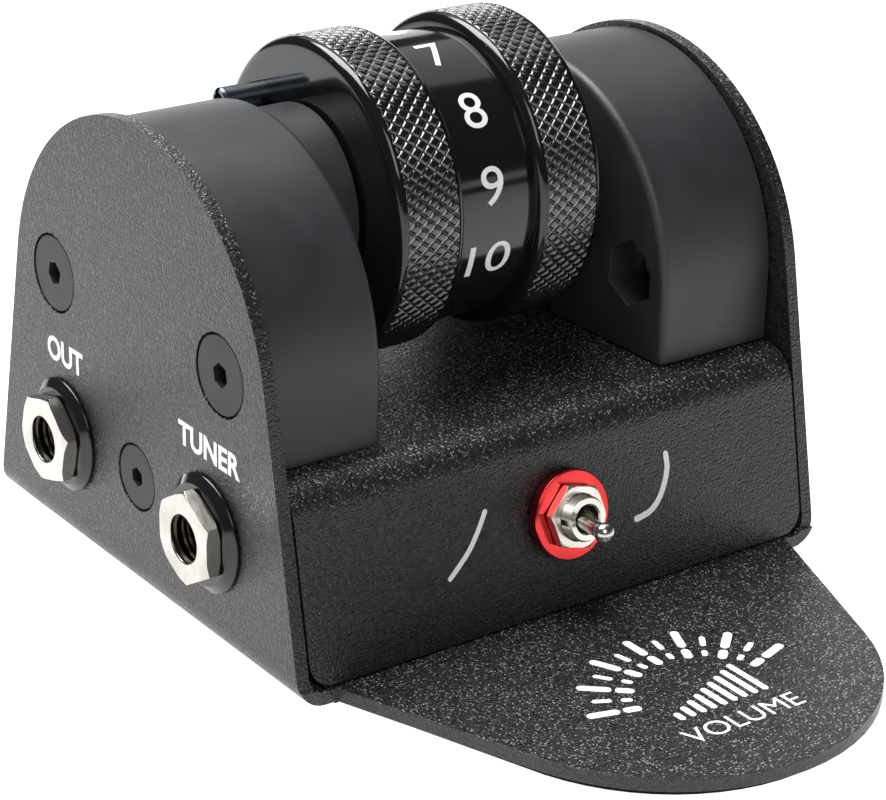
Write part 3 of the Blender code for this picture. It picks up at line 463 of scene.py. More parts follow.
def lettering(name: str, words: str, width: float, height: float, weight: float) -> Piece:
    """Words printed flat round the origin.

    Args:
        name: the piece's name.
        words: what is printed.
        width: the printed width.
        height: the printed height.
        weight: how much each letter's outline is grown, as a share of its height.

    Returns:
        One mesh piece, still at the origin.
    """
    bpy.ops.object.select_all(action="DESELECT")
    bpy.ops.object.text_add()
    text = bpy.context.object.data
    text.body = words
    text.size = height
    text.extrude = PRINT_DEPTH
    text.offset = weight * height
    text.resolution_u = 6
    piece = as_print(name)
    xs = [v.co.x for v in piece.data.vertices]
    ys = [v.co.y for v in piece.data.vertices]
    middle = Vector(((min(xs) + max(xs)) / 2, (min(ys) + max(ys)) / 2, 0))
    grow = Matrix.Diagonal((width / (max(xs) - min(xs)), height / (max(ys) - min(ys)), 1, 1))
    piece.data.transform(grow @ Matrix.Translation(-middle))
    return piece


def wrapped(piece: Piece, radius: float, angle: float, step: float) -> Piece:
    """Bend a flat print round the roller.

    Args:
        piece: a print at the origin, local X along the axle and local Y round it.
        radius: the surface that it lies on.
        angle: degrees from the front over the top to the print's middle.
        step: the greatest width of a flat strip.

    Returns:
        The same piece, in the axle's own axes.
    """
    reach = max(abs(v.co.y) for v in piece.data.vertices)
    count = int(reach / step)
    with editing(piece):
        for i in range(-count, count + 1):
            bpy.ops.mesh.select_all(action="SELECT")
            bpy.ops.mesh.bisect(plane_co=(0, (i + 0.5) * step, 0), plane_no=(0, 1, 0))
    for vertex in piece.data.vertices:
        x, y, z = vertex.co
        turn = math.radians(angle) + y / radius
        vertex.co = (-(radius + z) * math.cos(turn), (radius + z) * math.sin(turn), x)
    return piece


# ---- finishes --------------------------------------------------------------------------------------
class Wire:
    """A socket of a material that takes part in ordinary arithmetic."""

    def __init__(self, tree: Tree, socket: bpy.types.NodeSocket) -> None:
        """Remember the tree that the socket belongs to."""
        self.tree = tree
        self.socket = socket

    def math(self, operation: str, *others: Wire | float, clamp: bool = False) -> Wire:
        """Add one Math node fed by this socket and the others."""
        settings = {"operation": operation, "use_clamp": clamp}
        return self.tree.node("ShaderNodeMath", settings, dict(enumerate((self, *others))))

    def __add__(self, other: Wire | float) -> Wire:
        """This socket plus another."""
        return self.math("ADD", other)

    def __radd__(self, other: float) -> Wire:
        """A number plus this socket."""
        return self.math("ADD", other)

    def __sub__(self, other: Wire | float) -> Wire:
        """This socket less another."""
        return self.math("SUBTRACT", other)

    def __rsub__(self, other: float) -> Wire:
        """A number less this socket."""
        return self.tree.node("ShaderNodeMath", {"operation": "SUBTRACT"}, {0: other, 1: self})

    def __mul__(self, other: Wire | float) -> Wire:
        """This socket times another."""
        return self.math("MULTIPLY", other)

    def __rmul__(self, other: float) -> Wire:
        """A number times this socket."""
        return self.math("MULTIPLY", other)

    def __truediv__(self, other: Wire | float) -> Wire:
        """This socket divided by another."""
        return self.math("DIVIDE", other)

    def also(self, output: str) -> Wire:
        """Another output of the node that this socket belongs to."""
        return Wire(self.tree, self.tree.find(self.socket.node.outputs, output))

    def between(self, low: float, high: float) -> Wire:
        """How far this socket lies from low to high, kept from 0 to 1."""
        return ((self - low) / (high - low)).math("MINIMUM", 1.0).math("MAXIMUM", 0.0)


class Tree:
    """A node tree that nodes are added to and wired up in."""

    def __init__(self, tree: bpy.types.NodeTree) -> None:
        """Remember the tree."""
        self.tree = tree

    def node(
        self,
        kind: str,
        settings: Mapping[str, object],
        sockets: Mapping[str | int, object],
        output: str = "",
    ) -> Wire:
        """Add a node: first its settings, then the values or links of its sockets.

        Args:
            kind: Blender's name of the node's type.
            settings: the node's own properties; "stops" holds a ramp's (position, colour) pairs.
            sockets: values or wires by socket identifier, name or number.
            output: the identifier or name of the socket that is handed back; the first one if empty.

        Returns:
            The chosen output.
        """
        made = self.tree.nodes.new(kind)
        for key, value in settings.items():
            if key == "stops":
                self.set_stops(made.color_ramp, value)
            else:
                setattr(made, key, value)
        for key, value in sockets.items():
            self.feed(self.find(made.inputs, key), value)
        return Wire(self, self.find(made.outputs, output or 0))

    @staticmethod
    def set_stops(ramp: bpy.types.ColorRamp, stops: Sequence[tuple[float, Colour]]) -> None:
        """Give a ramp its stops, which are two or more.

        Args:
            ramp: the ramp that is filled.
            stops: each stop's position and colour.
        """
        while len(ramp.elements) < len(stops):
            ramp.elements.new(1.0)
        for element, (position, colour) in zip(ramp.elements, stops):
            element.position = position
            element.color = (*colour, 1.0)

    @staticmethod
    def find(sockets: bpy.types.bpy_prop_collection, key: str | int) -> bpy.types.NodeSocket:
        """A socket by its number, its identifier or its name.

        Args:
            sockets: a node's inputs or outputs.
            key: which of them.

        Returns:
            The socket.
        """
        if isinstance(key, int):
            return sockets[key]
        return next((s for s in sockets if s.identifier == key), None) or sockets[key]

    def feed(self, socket: bpy.types.NodeSocket, value: object) -> None:
        """Link a wire to a socket, or set the socket's own value.

        Args:
            socket: the input that is fed.
            value: a wire, a colour or a number.
        """
        if isinstance(value, Wire):
            self.tree.links.new(value.socket, socket)
        elif isinstance(value, tuple) and len(value) == 3 and len(socket.default_value) == 4:
            socket.default_value = (*value, 1.0)
        else:
            socket.default_value = value

    def blend(self, factor: Wire | float, low: Colour | Wire, high: Colour | Wire) -> Wire:
        """A colour between two others."""
        sockets = {"Factor_Float": factor, "A_Color": low, "B_Color": high}
        return self.node("ShaderNodeMix", {"data_type": "RGBA"}, sockets, "Result_Color")


class Shader(Tree):
    """The node tree of one material, around its Principled shader."""

    def __init__(self, name: str) -> None:
        """Start a material with a bare shader and Object coordinates."""
        self.material = bpy.data.materials.new(name)
        self.material.use_nodes = True
        super().__init__(self.material.node_tree)
        self.surface = next(n for n in self.tree.nodes if n.type == "BSDF_PRINCIPLED")
        self.place = self.node("ShaderNodeTexCoord", {}, {}, "Object")

    def noise(self, size: float, detail: float = 3.0, stretch: Colour = (1.0, 1.0, 1.0)) -> Wire:
        """Noise whose grains are about size metres across, stretched along the axes.

        Args:
            size: width of a grain in metres.
            detail: how many finer layers it has.
            stretch: how much longer grains are along X, Y and Z.

        Returns:
            The noise, from 0 to 1.
        """
        scale = {"Scale": tuple(1 / s for s in stretch)}
        place = self.node("ShaderNodeMapping", {}, {"Vector": self.place, **scale})
        return self.node("ShaderNodeTexNoise", {}, {"Vector": place, "Scale": 1 / size, "Detail": detail})

    def cells(self, size: float) -> Wire:
        """Distance to the middle of the nearest of many small cells."""
        return self.node("ShaderNodeTexVoronoi", {}, {"Vector": self.place, "Scale": 1 / size}, "Distance")

    def channel(self, vector: Wire, axis: str) -> Wire:
        """One of the three numbers of a colour or vector."""
        return self.node("ShaderNodeSeparateXYZ", {}, {"Vector": vector}, axis)

    def bump(self, height: Wire, depth: float, under: Wire | None = None) -> Wire:
        """A bump that is depth metres deep, on top of another one if given.

        Args:
            height: the surface's height, from 0 to 1.
            depth: metres from lowest to highest.
            under: a bump that this one lies on.

        Returns:
            The normal.
        """
        sockets = {"Height": height, "Distance": depth, "Strength": 1.0}
        if under:
            sockets["Normal"] = under
        return self.node("ShaderNodeBump", {}, sockets, "Normal")

    def paint(self, **inputs: object) -> None:
        """Set or feed the shader's inputs, with _ for each blank in their names."""
        for key, value in inputs.items():
            self.feed(self.surface.inputs[key.replace("_", " ")], value)


@dataclass(frozen=True)
class Finish:
    """What all finishes share: a colour that varies a little, a roughness and a fine grain.

    Fields give the two colours that the surface drifts between, the size of that drift, the range of its
    roughness, how metallic it is, and the size and depth of its grain.
    """

    name: str
    colour: Colour
    drift: Colour
    rough: tuple[float, float] = (0.3, 0.4)
    metal: float = 0.0
    drift_size: float = 6.0 * MM
    grain_size: float = 0.4 * MM
    grain_depth: float = 0.01 * MM
    specular: float = 0.5
    coat: float = 0.0

    def material(self) -> bpy.types.Material:
        """The finish's material, made the first time it is asked for.

        Returns:
            The material.
        """
        name = f"{self.name}_finish"
        found = bpy.data.materials.get(name)
        if found:
            return found
        shader = Shader(name)
        shader.paint(Metallic=self.metal, Specular_IOR_Level=self.specular, Coat_Weight=self.coat)
        self.dress(shader)
        return shader.material

    def dress(self, shader: Shader) -> None:
        """Feed colour, roughness and grain from noise.

        Args:
            shader: the material that is filled in.
        """
        cloud = shader.noise(self.drift_size)
        grain = shader.noise(self.grain_size)
        low, high = self.rough
        shader.paint(
            Base_Color=shader.blend(cloud.between(0.3, 0.7), self.colour, self.drift),
            Roughness=low + (high - low) * cloud.between(0.3, 0.7),
            Normal=shader.bump(grain, self.grain_depth),
        )


@dataclass(frozen=True)
class PowderCoat(Finish):
    """Sand-textured powder coat: rounded grains, with painted glints (painted highlights) and some dust in the
    base colour, most of all on faces that look up to the overhead light.
    """

    pebble_size: float = 0.75 * MM
    pebble_depth: float = 0.14 * MM
    # Colour of the painted glints and dust specks, and their share on faces that don't look up.
    glint: Colour = (0.42, 0.425, 0.43)
    glint_aside: float = 0.10

    def dress(self, shader: Shader) -> None:
        """Round grains over soft waves, with a painted glint and dust speck on a grain here and there.

        Args:
            shader: the material that is filled in.
        """
        waves = shader.noise(self.pebble_size, detail=1.0)
        grain = shader.cells(self.grain_size)
        height = waves * 0.35 + (1 - grain) * 0.65
        chance = shader.channel(grain.also("Color"), "X").between(0.55, 0.95)
        # Faces that look up get more of the painted glints, as the overhead light falls on them; dust settles
        # there too.
        upward = shader.channel(shader.node("ShaderNodeNewGeometry", {}, {}, "Normal"), "Z").between(0.2, 0.9)
        glint_and_dust_mask = chance * (1 - grain.between(0.15, 0.50)) * (self.glint_aside + (1 - self.glint_aside) * upward)
        low, high = self.rough
        body = shader.blend(waves.between(0.35, 0.65), self.colour, self.drift)
        shader.paint(
            # The paler grains are painted highlights in the base colour, partly dust.
            Base_Color=shader.blend(glint_and_dust_mask, body, self.glint),
            Roughness=high - (high - low) * chance,
            Normal=shader.bump(height, self.pebble_depth),
        )


@dataclass(frozen=True)
class Machined(Finish):
    """Plated or turned metal with fine tool marks in one direction and a little wear."""

    marks: Colour = (1.0, 1.0, 14.0)
    mark_size: float = 0.12 * MM
    mark_depth: float = 0.0015 * MM

    def dress(self, shader: Shader) -> None:
        """Fine marks over a slightly cloudy plating.

        Args:
            shader: the material that is filled in.
        """
        cloud = shader.noise(self.drift_size)
        lines = shader.noise(self.mark_size, detail=2.0, stretch=self.marks)
        low, high = self.rough
        shader.paint(
            Base_Color=shader.blend(cloud.between(0.35, 0.7), self.colour, self.drift),
            Roughness=low + (high - low) * (0.6 * cloud + 0.4 * lines),
            Normal=shader.bump(lines, self.mark_depth),
        )


@dataclass(frozen=True)
class Gloss(Finish):
    """Polished black with faint smudges and a few specks of dust."""

    speck_size: float = 1.6 * MM
    speck: Colour = (0.22, 0.22, 0.22)

    def dress(self, shader: Shader) -> None:
        """Smudged roughness, and dust where a cell's middle comes close.

        Args:
            shader: the material that is filled in.
        """
        smudge = shader.noise(self.drift_size, detail=5.0)
        dust = 1 - shader.cells(self.speck_size).between(0.035, 0.06)
        rare = shader.noise(self.speck_size * 2).between(0.56, 0.6)
        low, high = self.rough
        shader.paint(
            Base_Color=shader.blend(dust * rare, self.colour, self.speck),
            Roughness=low + (high - low) * smudge.between(0.35, 0.7) + 0.3 * dust * rare,
            Normal=shader.bump(shader.noise(self.grain_size), self.grain_depth),
        )


@dataclass(frozen=True)
class Felted(Finish):
    """Dense short-fibred grip pad."""

    def dress(self, shader: Shader) -> None:
        """Tangled fibres from two stretched noises.

        Args:
            shader: the material that is filled in.
        """
        across = shader.noise(self.grain_size, stretch=(4.0, 1.0, 1.0))
        along = shader.noise(self.grain_size, stretch=(1.0, 4.0, 1.0))
        fibres = (across + along) * 0.5
        shader.paint(
            Base_Color=shader.blend(fibres.between(0.4, 0.65), self.colour, self.drift),
            Roughness=self.rough[1],
            Normal=shader.bump(fibres, self.grain_depth),
        )


class Finishes:
    """Every finish of the pedal."""

    powder = PowderCoat(
        "powder_coat", (0.0055, 0.006, 0.0065), (0.0150, 0.0160, 0.0175), (0.22, 0.36), grain_size=0.34 * MM
    )
    cheek = Finish(
        "cheek_plastic", (0.0180, 0.0192, 0.0215), (0.0225, 0.0240, 0.0266), (0.42, 0.50),
        grain_size=0.25 * MM, grain_depth=0.006 * MM,
    )
    drum = Gloss(
        "drum_black", (0.006, 0.006, 0.007), (0.008, 0.008, 0.009), (0.08, 0.14),
        grain_depth=0.0, specular=0.55,
    )
    knurl = Finish(
        "knurl_black", (0.004, 0.004, 0.005), (0.007, 0.007, 0.008), (0.15, 0.22),
        grain_size=0.2 * MM, grain_depth=0.004 * MM, specular=0.8, coat=0.4,
    )
    ink = Finish(
        "white_ink", (0.92, 0.92, 0.91), (0.84, 0.84, 0.83), (0.45, 0.55),
        drift_size=0.5 * MM, grain_size=0.3 * MM, grain_depth=0.004 * MM,
    )
    numeral = Finish(
        "numeral_ink", (0.80, 0.80, 0.80), (0.72, 0.72, 0.72), (0.35, 0.45),
        drift_size=0.8 * MM, grain_size=0.3 * MM, grain_depth=0.003 * MM,
    )
    screw = Machined(
        "black_screw", (0.030, 0.031, 0.033), (0.022, 0.023, 0.024), (0.42, 0.52), 0.55, marks=(1, 1, 1)
    )
    socket = Finish("screw_socket", (0.004, 0.004, 0.004), (0.006, 0.006, 0.006), (0.5, 0.6))
    pin = Machined(
        "pin_steel", (0.16, 0.18, 0.21), (0.12, 0.135, 0.16), (0.22, 0.34), 1.0, marks=(14, 1, 1)
    )
    steel = Machined("bright_steel", (0.55, 0.56, 0.58), (0.48, 0.49, 0.51), (0.22, 0.34), 1.0)
    nickel = Machined(
        "nickel", (0.62, 0.60, 0.56), (0.44, 0.42, 0.385), (0.17, 0.28), 1.0, marks=(14, 1, 1)
    )
    # Painted shade: the sleeve's nickel is darkened here for its deep bore, which the light hardly reaches.
    bore = Machined(
        "shaded_bore", (0.07, 0.06, 0.05), (0.05, 0.045, 0.04), (0.30, 0.42), 1.0, marks=(14, 1, 1)
    )
    ring = Gloss("gloss_ring", (0.008, 0.008, 0.009), (0.01, 0.01, 0.01), (0.10, 0.18), grain_depth=0.0)
    red = Machined("red_anodised", (0.74, 0.055, 0.055), (0.62, 0.040, 0.042), (0.17, 0.25), 1.0)
    satin = Machined("satin_nickel", (0.82, 0.79, 0.72), (0.70, 0.67, 0.60), (0.22, 0.34), 1.0)
    lever = Machined("lever_chrome", (0.66, 0.64, 0.61), (0.56, 0.54, 0.52), (0.18, 0.28), 1.0)
    pad = Felted(
        "grip_pad", (0.004, 0.004, 0.004), (0.022, 0.022, 0.022), (0.9, 0.95),
        grain_depth=0.08 * MM, specular=0.1,
    )
    board = Finish(
        "board_green", (0.010, 0.080, 0.030), (0.020, 0.120, 0.045), (0.30, 0.42), drift_size=3 * MM
    )
    ribbon = Finish(
        "ribbon_grey", (0.30, 0.30, 0.31), (0.24, 0.24, 0.25), (0.45, 0.55), drift_size=1.3 * MM
    )
    bronze = Machined("spring_bronze", (0.60, 0.38, 0.18), (0.50, 0.30, 0.14), (0.22, 0.34), 1.0)
    moulding = Finish("black_moulding", (0.014, 0.014, 0.015), (0.020, 0.020, 0.021), (0.4, 0.5))


# ---- chassis, pad and prints -----------------------------------------------------------------------
@dataclass
class Chassis:
    """The bent steel base with its walls, the pad under it, and the white prints."""

    edge: float = 0.16 * MM
    pad_edge: float = 0.2 * MM
    wall: float = 44.45 * MM
    label_z: float = 30.1 * MM
    toe_z: float = 3.45 * MM
    label_weight: float = 0.028
    word_size: tuple[float, float] = (18.8 * MM, 3.2 * MM)
    word_at: Point = (-0.4 * MM, -74.8 * MM)
    word_weight: float = -0.004
    bars: int = 9
    bar_step: float = 1.75 * MM
    bar_base: float = -70.6 * MM
    bar_width: float = 0.95 * MM
    dial_middle: Point = (0.0, -68.5 * MM)
    spokes: int = 13
    spoke_from: float = 164.0
    spoke_step: float = 12.2
    labels: tuple[tuple[str, Side, float, float, float], ...] = (
        ("OUT", Side.LEFT, 19.0 * MM, 9.9 * MM, 3.6 * MM),
        ("TUNER", Side.LEFT, -18.75 * MM, 14.9 * MM, 3.4 * MM),
        ("IN", Side.RIGHT, 19.6 * MM, 5.0 * MM, 3.5 * MM),
    )

    def build(self) -> None:
        """Model and dress everything that belongs to the base."""
        body = softened(from_node("steel_chassis", "chassis"), self.edge)
        delivered(body, Finishes.powder, Body.PEDAL, "powder_coated_steel", "chassis")
        pad = softened(from_node("grip_pad", "base_pad"), self.pad_edge)
        delivered(pad, Finishes.pad, Body.PEDAL, "grip_pad", "base_pad")
        for words, side, y, width, height in self.labels:
            label = lettering(f"label_{words.lower()}", words, width, height, self.label_weight)
            settled(label, wall_place(side, self.wall, y, self.label_z))
            delivered(label, Finishes.ink, Body.PEDAL, "powder_coated_steel")
        self.toe_prints()

    def toe_prints(self) -> None:
        """A plain word, with a dial scale and rising level bars over it."""
        top = Place(Vector((0, 0, self.toe_z)), Vector((1, 0, 0)), Vector((0, 1, 0)))
        word = lettering("print_volume", "VOLUME", *self.word_size, self.word_weight)
        settled(word, top.shifted(*self.word_at))
        delivered(word, Finishes.ink, Body.PEDAL, "powder_coated_steel")
        bars = []
        for i in range(self.bars):
            x = (i - self.bars // 2) * self.bar_step
            rise = (1.0 + 0.72 * i) * MM
            bars.append(stroke([(x, self.bar_base), (x, self.bar_base + rise)], self.bar_width))
        ticks = []
        for i in range(self.spokes):
            angle = math.radians(self.spoke_from - self.spoke_step * i)
            way = Vector((math.cos(angle), math.sin(angle)))
            reaches = ((10.6, 11.9), (13.6, 16.9)) if i % 2 == 0 else ((10.9, 11.6), (13.6, 15.4))
            for inner, outer in reaches:
                path = [tuple(Vector(self.dial_middle) + way * reach * MM) for reach in (inner, outer)]
                ticks.append(stroke(path, (1.25 if i % 2 == 0 else 0.85) * MM))
        graphic = settled(flat_print("print_level_scale", bars + ticks), top)
        delivered(graphic, Finishes.ink, Body.PEDAL, "powder_coated_steel")


@dataclass
class DeckCover:
    """The folded cover between the walls, with its two painted marks beside the switch."""

    edge: float = 0.25 * MM
    foot: tuple[float, float] = (-40.15 * MM, 1.55 * MM)
    lean: float = math.radians(11.3719)
    left_mark: tuple[Point, ...] = ((-12.7, 18.9), (-14.0, 16.7), (-15.7, 14.4), (-17.4, 12.8), (-19.2, 11.3))
    right_mark: tuple[Point, ...] = (
        (18.5, 19.4), (18.6, 17.5), (18.0, 15.5), (16.7, 13.3), (15.0, 12.0), (12.6, 11.5),
    )

    def face(self) -> Place:
        """The place on the cover's front face at its foot, in the pedal's middle."""
        up = Vector((0, math.sin(self.lean), math.cos(self.lean)))
        return Place(Vector((0, *self.foot)), Vector((1, 0, 0)), up)

    def build(self) -> None:
        """Model and dress the cover and its marks."""
        cover = softened(from_node("deck_plate", "deck_cover"), self.edge)
        delivered(cover, Finishes.powder, Body.PEDAL, "powder_coated_steel", "deck_cover")
        for name, mark, width in (("left", self.left_mark, 0.72), ("right", self.right_mark, 0.9)):
            path = smooth_path([((x - 0.3) * MM, y * MM) for x, y in mark])
            sweep = flat_print(f"mark_{name}", [stroke(path, width * MM)])
            settled(sweep, self.face())
            delivered(sweep, Finishes.ink, Body.PEDAL, "powder_coated_steel")


@dataclass
class Cheeks:
    """The two moulded cheeks that carry the roller's bearings."""

    edge: float = 0.22 * MM

    def build(self) -> None:
        """Model and dress both cheeks."""
        for name in ("left_cheek", "right_cheek"):
            cheek = softened(from_node(f"{name}_moulding", name), self.edge, segments=2, angle=40.0)
            delivered(cheek, Finishes.cheek, Body.PEDAL, "cheek_plastic", name)


# ---- roller ----------------------------------------------------------------------------------------
@dataclass
class Roller:
    """The foot roller: its gloss core, two knurled grips, the number band and the stop pin.

    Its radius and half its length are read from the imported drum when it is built.
    """

    radius: float = 22.2 * MM
    half: float = 17.0 * MM
    grip: tuple[float, float] = (7.325 * MM, 15.775 * MM)
    band_step: float = 2.05 * MM
    band_half: float = 6.05 * MM
    face_step: float = 1.8 * MM
    recess: tuple[float, float] = (6.5 * MM, 1.0 * MM)
    bore: float = 3.35 * MM
    teeth: int = 72
    rows: int = 4
    groove_depth: float = 0.30 * MM
    groove_half: float = 0.28 * MM
    diamond_edge: float = 0.04 * MM
    seven_at: float = 73.0
    pitch: float = 30.0
    number_shift: float = -0.4 * MM

    def build(self) -> None:
        """Model and dress everything that turns with the roller."""
        low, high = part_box("roller_drum")
        self.radius = (high.z - low.z) / 2
        self.half = (high.x - low.x) / 2
        place = axle_place((low + high) / 2)
        core = settled(shaded(turned("roller_core", self.core_rings(), bored=True), 32.0), place)
        delivered(core, Finishes.drum, Body.ROLLER, "black_anodised", "roller_drum")
        right = self.knurled_grip("grip_right")
        left = self.mirrored(right, "grip_left")
        for grip in (right, left):
            settled(grip, place)
            delivered(grip, Finishes.knurl, Body.ROLLER, "black_anodised")
        for value in range(11):
            numeral = self.numeral(value)
            settled(numeral, place)
            delivered(numeral, Finishes.numeral, Body.ROLLER, "black_anodised")
        self.stop_pin()

    def core_rings(self) -> list[Ring]:
        """The core's profile from one bore end over the rims and the number band to the other.

        Returns:
            The rings, which run from +X to -X.
        """
        seat = self.radius - self.groove_depth - 0.12 * MM
        lip = self.radius - 0.10 * MM
        inner, outer = self.grip
        face = self.radius - self.face_step
        rings = [(self.bore, self.half - self.recess[1]), (self.recess[0], self.half - self.recess[1])]
        rings += [(self.recess[0], self.half), (face - 0.5 * MM, self.half)]
        for i in range(1, 9):
            turn = math.pi / 2 * i / 8
            rise = (lip - face) * math.sin(turn)
            rings.append((face + rise, self.half - (self.half - outer) * (1 - math.cos(turn))))
        rings += [(seat, outer), (seat, inner), (lip, inner)]
        band, edge = self.radius - self.band_step, self.band_half
        for i in range(1, 9):
            turn = math.pi / 2 * i / 8
            rings.append((band + (lip - band) * math.cos(turn), inner - (inner - edge) * math.sin(turn)))
        return rings + [(radius, -x) for radius, x in reversed(rings)]

    def knurled_grip(self, name: str) -> Piece:
        """A sleeve of flat-topped diamonds between V grooves.

        Args:
            name: the piece's name.

        Returns:
            The right-hand grip, in the axle's own axes.
        """
        floor = self.radius - self.groove_depth
        inner, outer = self.grip
        start, end = inner + 0.02 * MM, outer - 0.02 * MM
        heights = [start + (end - start) * i / self.rows for i in range(self.rows + 1)]
        bpy.ops.object.select_all(action="DESELECT")
        bpy.ops.mesh.primitive_circle_add(vertices=self.teeth, radius=floor, location=(0, 0, start))
        piece = named(name)
        bpy.ops.object.transform_apply()
        with editing(piece, "EDGE") as mesh:
            for before, after in zip(heights, heights[1:]):
                bpy.ops.mesh.extrude_region_move(TRANSFORM_OT_translate={"value": (0, 0, after - before)})
            corners = len(mesh.verts)
            bpy.ops.mesh.select_all(action="SELECT")
            bpy.ops.mesh.select_mode(type="FACE")
            bpy.ops.mesh.poke()
            self.keep_diagonals(piece, corners)
            bpy.ops.mesh.select_mode(type="FACE")
            bpy.ops.mesh.select_all(action="SELECT")
            bpy.ops.mesh.normals_make_consistent(inside=False)
            bpy.ops.mesh.inset(
                thickness=self.groove_half, depth=self.groove_depth, use_individual=True, use_even_offset=True
            )
            bpy.ops.mesh.select_all(action="DESELECT")
            bpy.ops.mesh.select_mode(type="EDGE")
            bpy.ops.mesh.select_non_manifold()
            bpy.ops.mesh.extrude_region_move()
            shrink = (floor - 0.1 * MM) / floor
            bpy.ops.transform.resize(value=(shrink, shrink, 1), center_override=(0, 0, 0))
            bpy.ops.mesh.bridge_edge_loops()
            bpy.ops.mesh.select_all(action="SELECT")
            bpy.ops.mesh.normals_make_consistent(inside=False)
        apply_modifier(
            piece, "BEVEL", width=self.diamond_edge, segments=1, limit_method="ANGLE", angle_limit=math.radians(25)
        )
        return shaded(piece, 28.0)

    @staticmethod
    def keep_diagonals(piece: Piece, corners: int) -> None:
        """Dissolve the straight edges of the poked cells, so that only diamonds are left.

        Args:
            piece: the sleeve, open in edit mode.
            corners: how many of its vertices come from before the faces were poked.
        """
        bpy.ops.mesh.select_mode(type="EDGE")
        bpy.ops.mesh.select_all(action="DESELECT")
        mesh = bmesh.from_edit_mesh(piece.data)
        mesh.verts.ensure_lookup_table()
        for edge in mesh.edges:
            straight = all(vertex.index < corners for vertex in edge.verts)
            edge.select_set(straight and not edge.is_boundary)
        bmesh.update_edit_mesh(piece.data)
        bpy.ops.mesh.dissolve_edges(use_verts=False)

    @staticmethod
    def mirrored(piece: Piece, name: str) -> Piece:
        """A copy of a piece on the other side of the roller's middle.

        Args:
            piece: the piece to copy.
            name: the new piece's name.

        Returns:
            The copy.
        """
        other = bpy.data.objects.new(name, piece.data.copy())
        other.data.name = name
        bpy.context.scene.collection.objects.link(other)
        other.data.transform(Matrix.Diagonal((1, -1, -1, 1)))
        return other

    def numeral(self, value: int) -> Piece:
        """One number of the band, wrapped round it.

        Args:
            value: the number that is printed.

        Returns:
            The number, in the axle's own axes.
        """
        size = (7.0 * MM, 4.9 * MM) if value > 9 else ((1.5 if value == 1 else 3.6) * MM, 5.3 * MM)
        flat = lettering(f"numeral_{value}", str(value), *size, 0.0)
        flat.data.transform(Matrix.Translation((self.number_shift, 0, 0)))
        angle = self.seven_at + self.pitch * (7 - value)
        return wrapped(flat, self.radius - self.band_step, angle, 0.8 * MM)

    def stop_pin(self) -> None:
        """Model the rolled pin that limits the roller's turn, with its slit and chamfers."""
        low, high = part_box("stop_pin")
        middle = (low + high) / 2
        outer, inner, chamfer = 2.0 * MM, 1.25 * MM, 0.35 * MM
        half = (high.x - low.x) / 2
        rings = [(inner, -half), (outer - chamfer, -half), (outer, -half + chamfer), (outer, half - chamfer)]
        rings += [(outer - chamfer, half), (inner, half)]
        pin = turned("stop_pin_steel", rings, COARSE, bored=True)
        slit = block("slit", Vector((0, -0.4 * MM, -2 * half)), Vector((3 * MM, 0.4 * MM, 2 * half)))
        carve(pin, slit)
        place = Place(middle, Vector((0, 0.3, 0.954)), Vector((0, -0.954, 0.3)))
        settled(softened(pin, 0.08 * MM, segments=2), place)
        delivered(pin, Finishes.pin, Body.ROLLER, "steel", "stop_pin")


# ---- jack sockets ----------------------------------------------------------------------------------
@dataclass
class JackSocket:
    """The outside of one jack socket: dress ring, chamfered nut and threaded sleeve."""

    name: str
    side: Side
    nut_turn: float
    flats: float = 11.7 * MM
    thread: float = 4.5 * MM
    bore: float = 3.3 * MM
    ring_slope: float = 1.25 * MM
    lip: float = 0.55 * MM

    def place(self) -> Place:
        """The socket's axis at the pedal's middle, facing out of its wall.

        Returns:
            The place.
        """
        low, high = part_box(f"jack_{self.name}_ring")
        middle = (low + high) / 2
        return wall_place(self.side, 0.0, middle.y, middle.z)

    def span(self, part: str) -> tuple[float, float]:
        """How far out of the pedal's middle plane a CAD part of this socket starts and ends."""
        low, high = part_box(f"jack_{self.name}_{part}")
        return tuple(sorted((abs(low.x), abs(high.x))))

    def build(self) -> None:
        """Model and dress the three visible pieces."""
        place = self.place()
        self.ring(place)
        self.nut(place)
        self.sleeve(place)

    def ring(self, place: Place) -> None:
        """The gloss dress ring with its sloped shoulder.

        Args:
            place: where the piece sits on the pedal.
        """
        start, end = self.span("ring")
        low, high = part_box(f"jack_{self.name}_ring")
        outer = (high.z - low.z) / 2
        inner = self.thread + 0.35 * MM
        rings = [(inner, start), (outer, start), (outer, start + 0.35 * MM), (outer - self.ring_slope, end)]
        rings += [(inner, end)]
        piece = turned(f"jack_{self.name}_dress_ring", rings, bored=True)
        settled(softened(piece, 0.12 * MM), place)
        delivered(piece, Finishes.ring, Body.PEDAL, "gloss_black", f"jack_{self.name}_ring")

    def nut(self, place: Place) -> None:
        """The hexagon nut, its corners turned off at both faces and its bore chamfered.

        Args:
            place: where the piece sits on the pedal.
        """
        start, end = self.span("nut")
        piece = chamfered_nut(f"jack_{self.name}_hex_nut", self.flats, self.bore + 0.03 * MM, start, end)
        room = [(self.thread + 0.02 * MM, start - 1 * MM), (self.thread + 0.02 * MM, end - self.lip)]
        carve(piece, turned("sleeve_room", room, COARSE))
        piece.data.transform(Matrix.Rotation(math.radians(self.nut_turn), 4, "Z"))
        settled(softened(piece, 0.08 * MM, segments=2), place)
        delivered(piece, Finishes.nickel, Body.PEDAL, "nickel", f"jack_{self.name}_nut")

    def sleeve(self, place: Place) -> None:
        """The threaded sleeve, with a turned-out mouth and ridges inside its bore.

        Args:
            place: where the piece sits on the pedal.
        """
        start, end = self.span("sleeve")
        rings = sleeve_rings(start, end - self.lip, self.thread, self.bore)
        piece = turned(f"jack_{self.name}_threaded_sleeve", rings, bored=True)
        settled(shaded(piece, 40.0), place)
        # The sleeve is dressed in the darkened nickel: painted shade for its bore.
        delivered(piece, Finishes.bore, Body.PEDAL, "nickel", f"jack_{self.name}_sleeve")


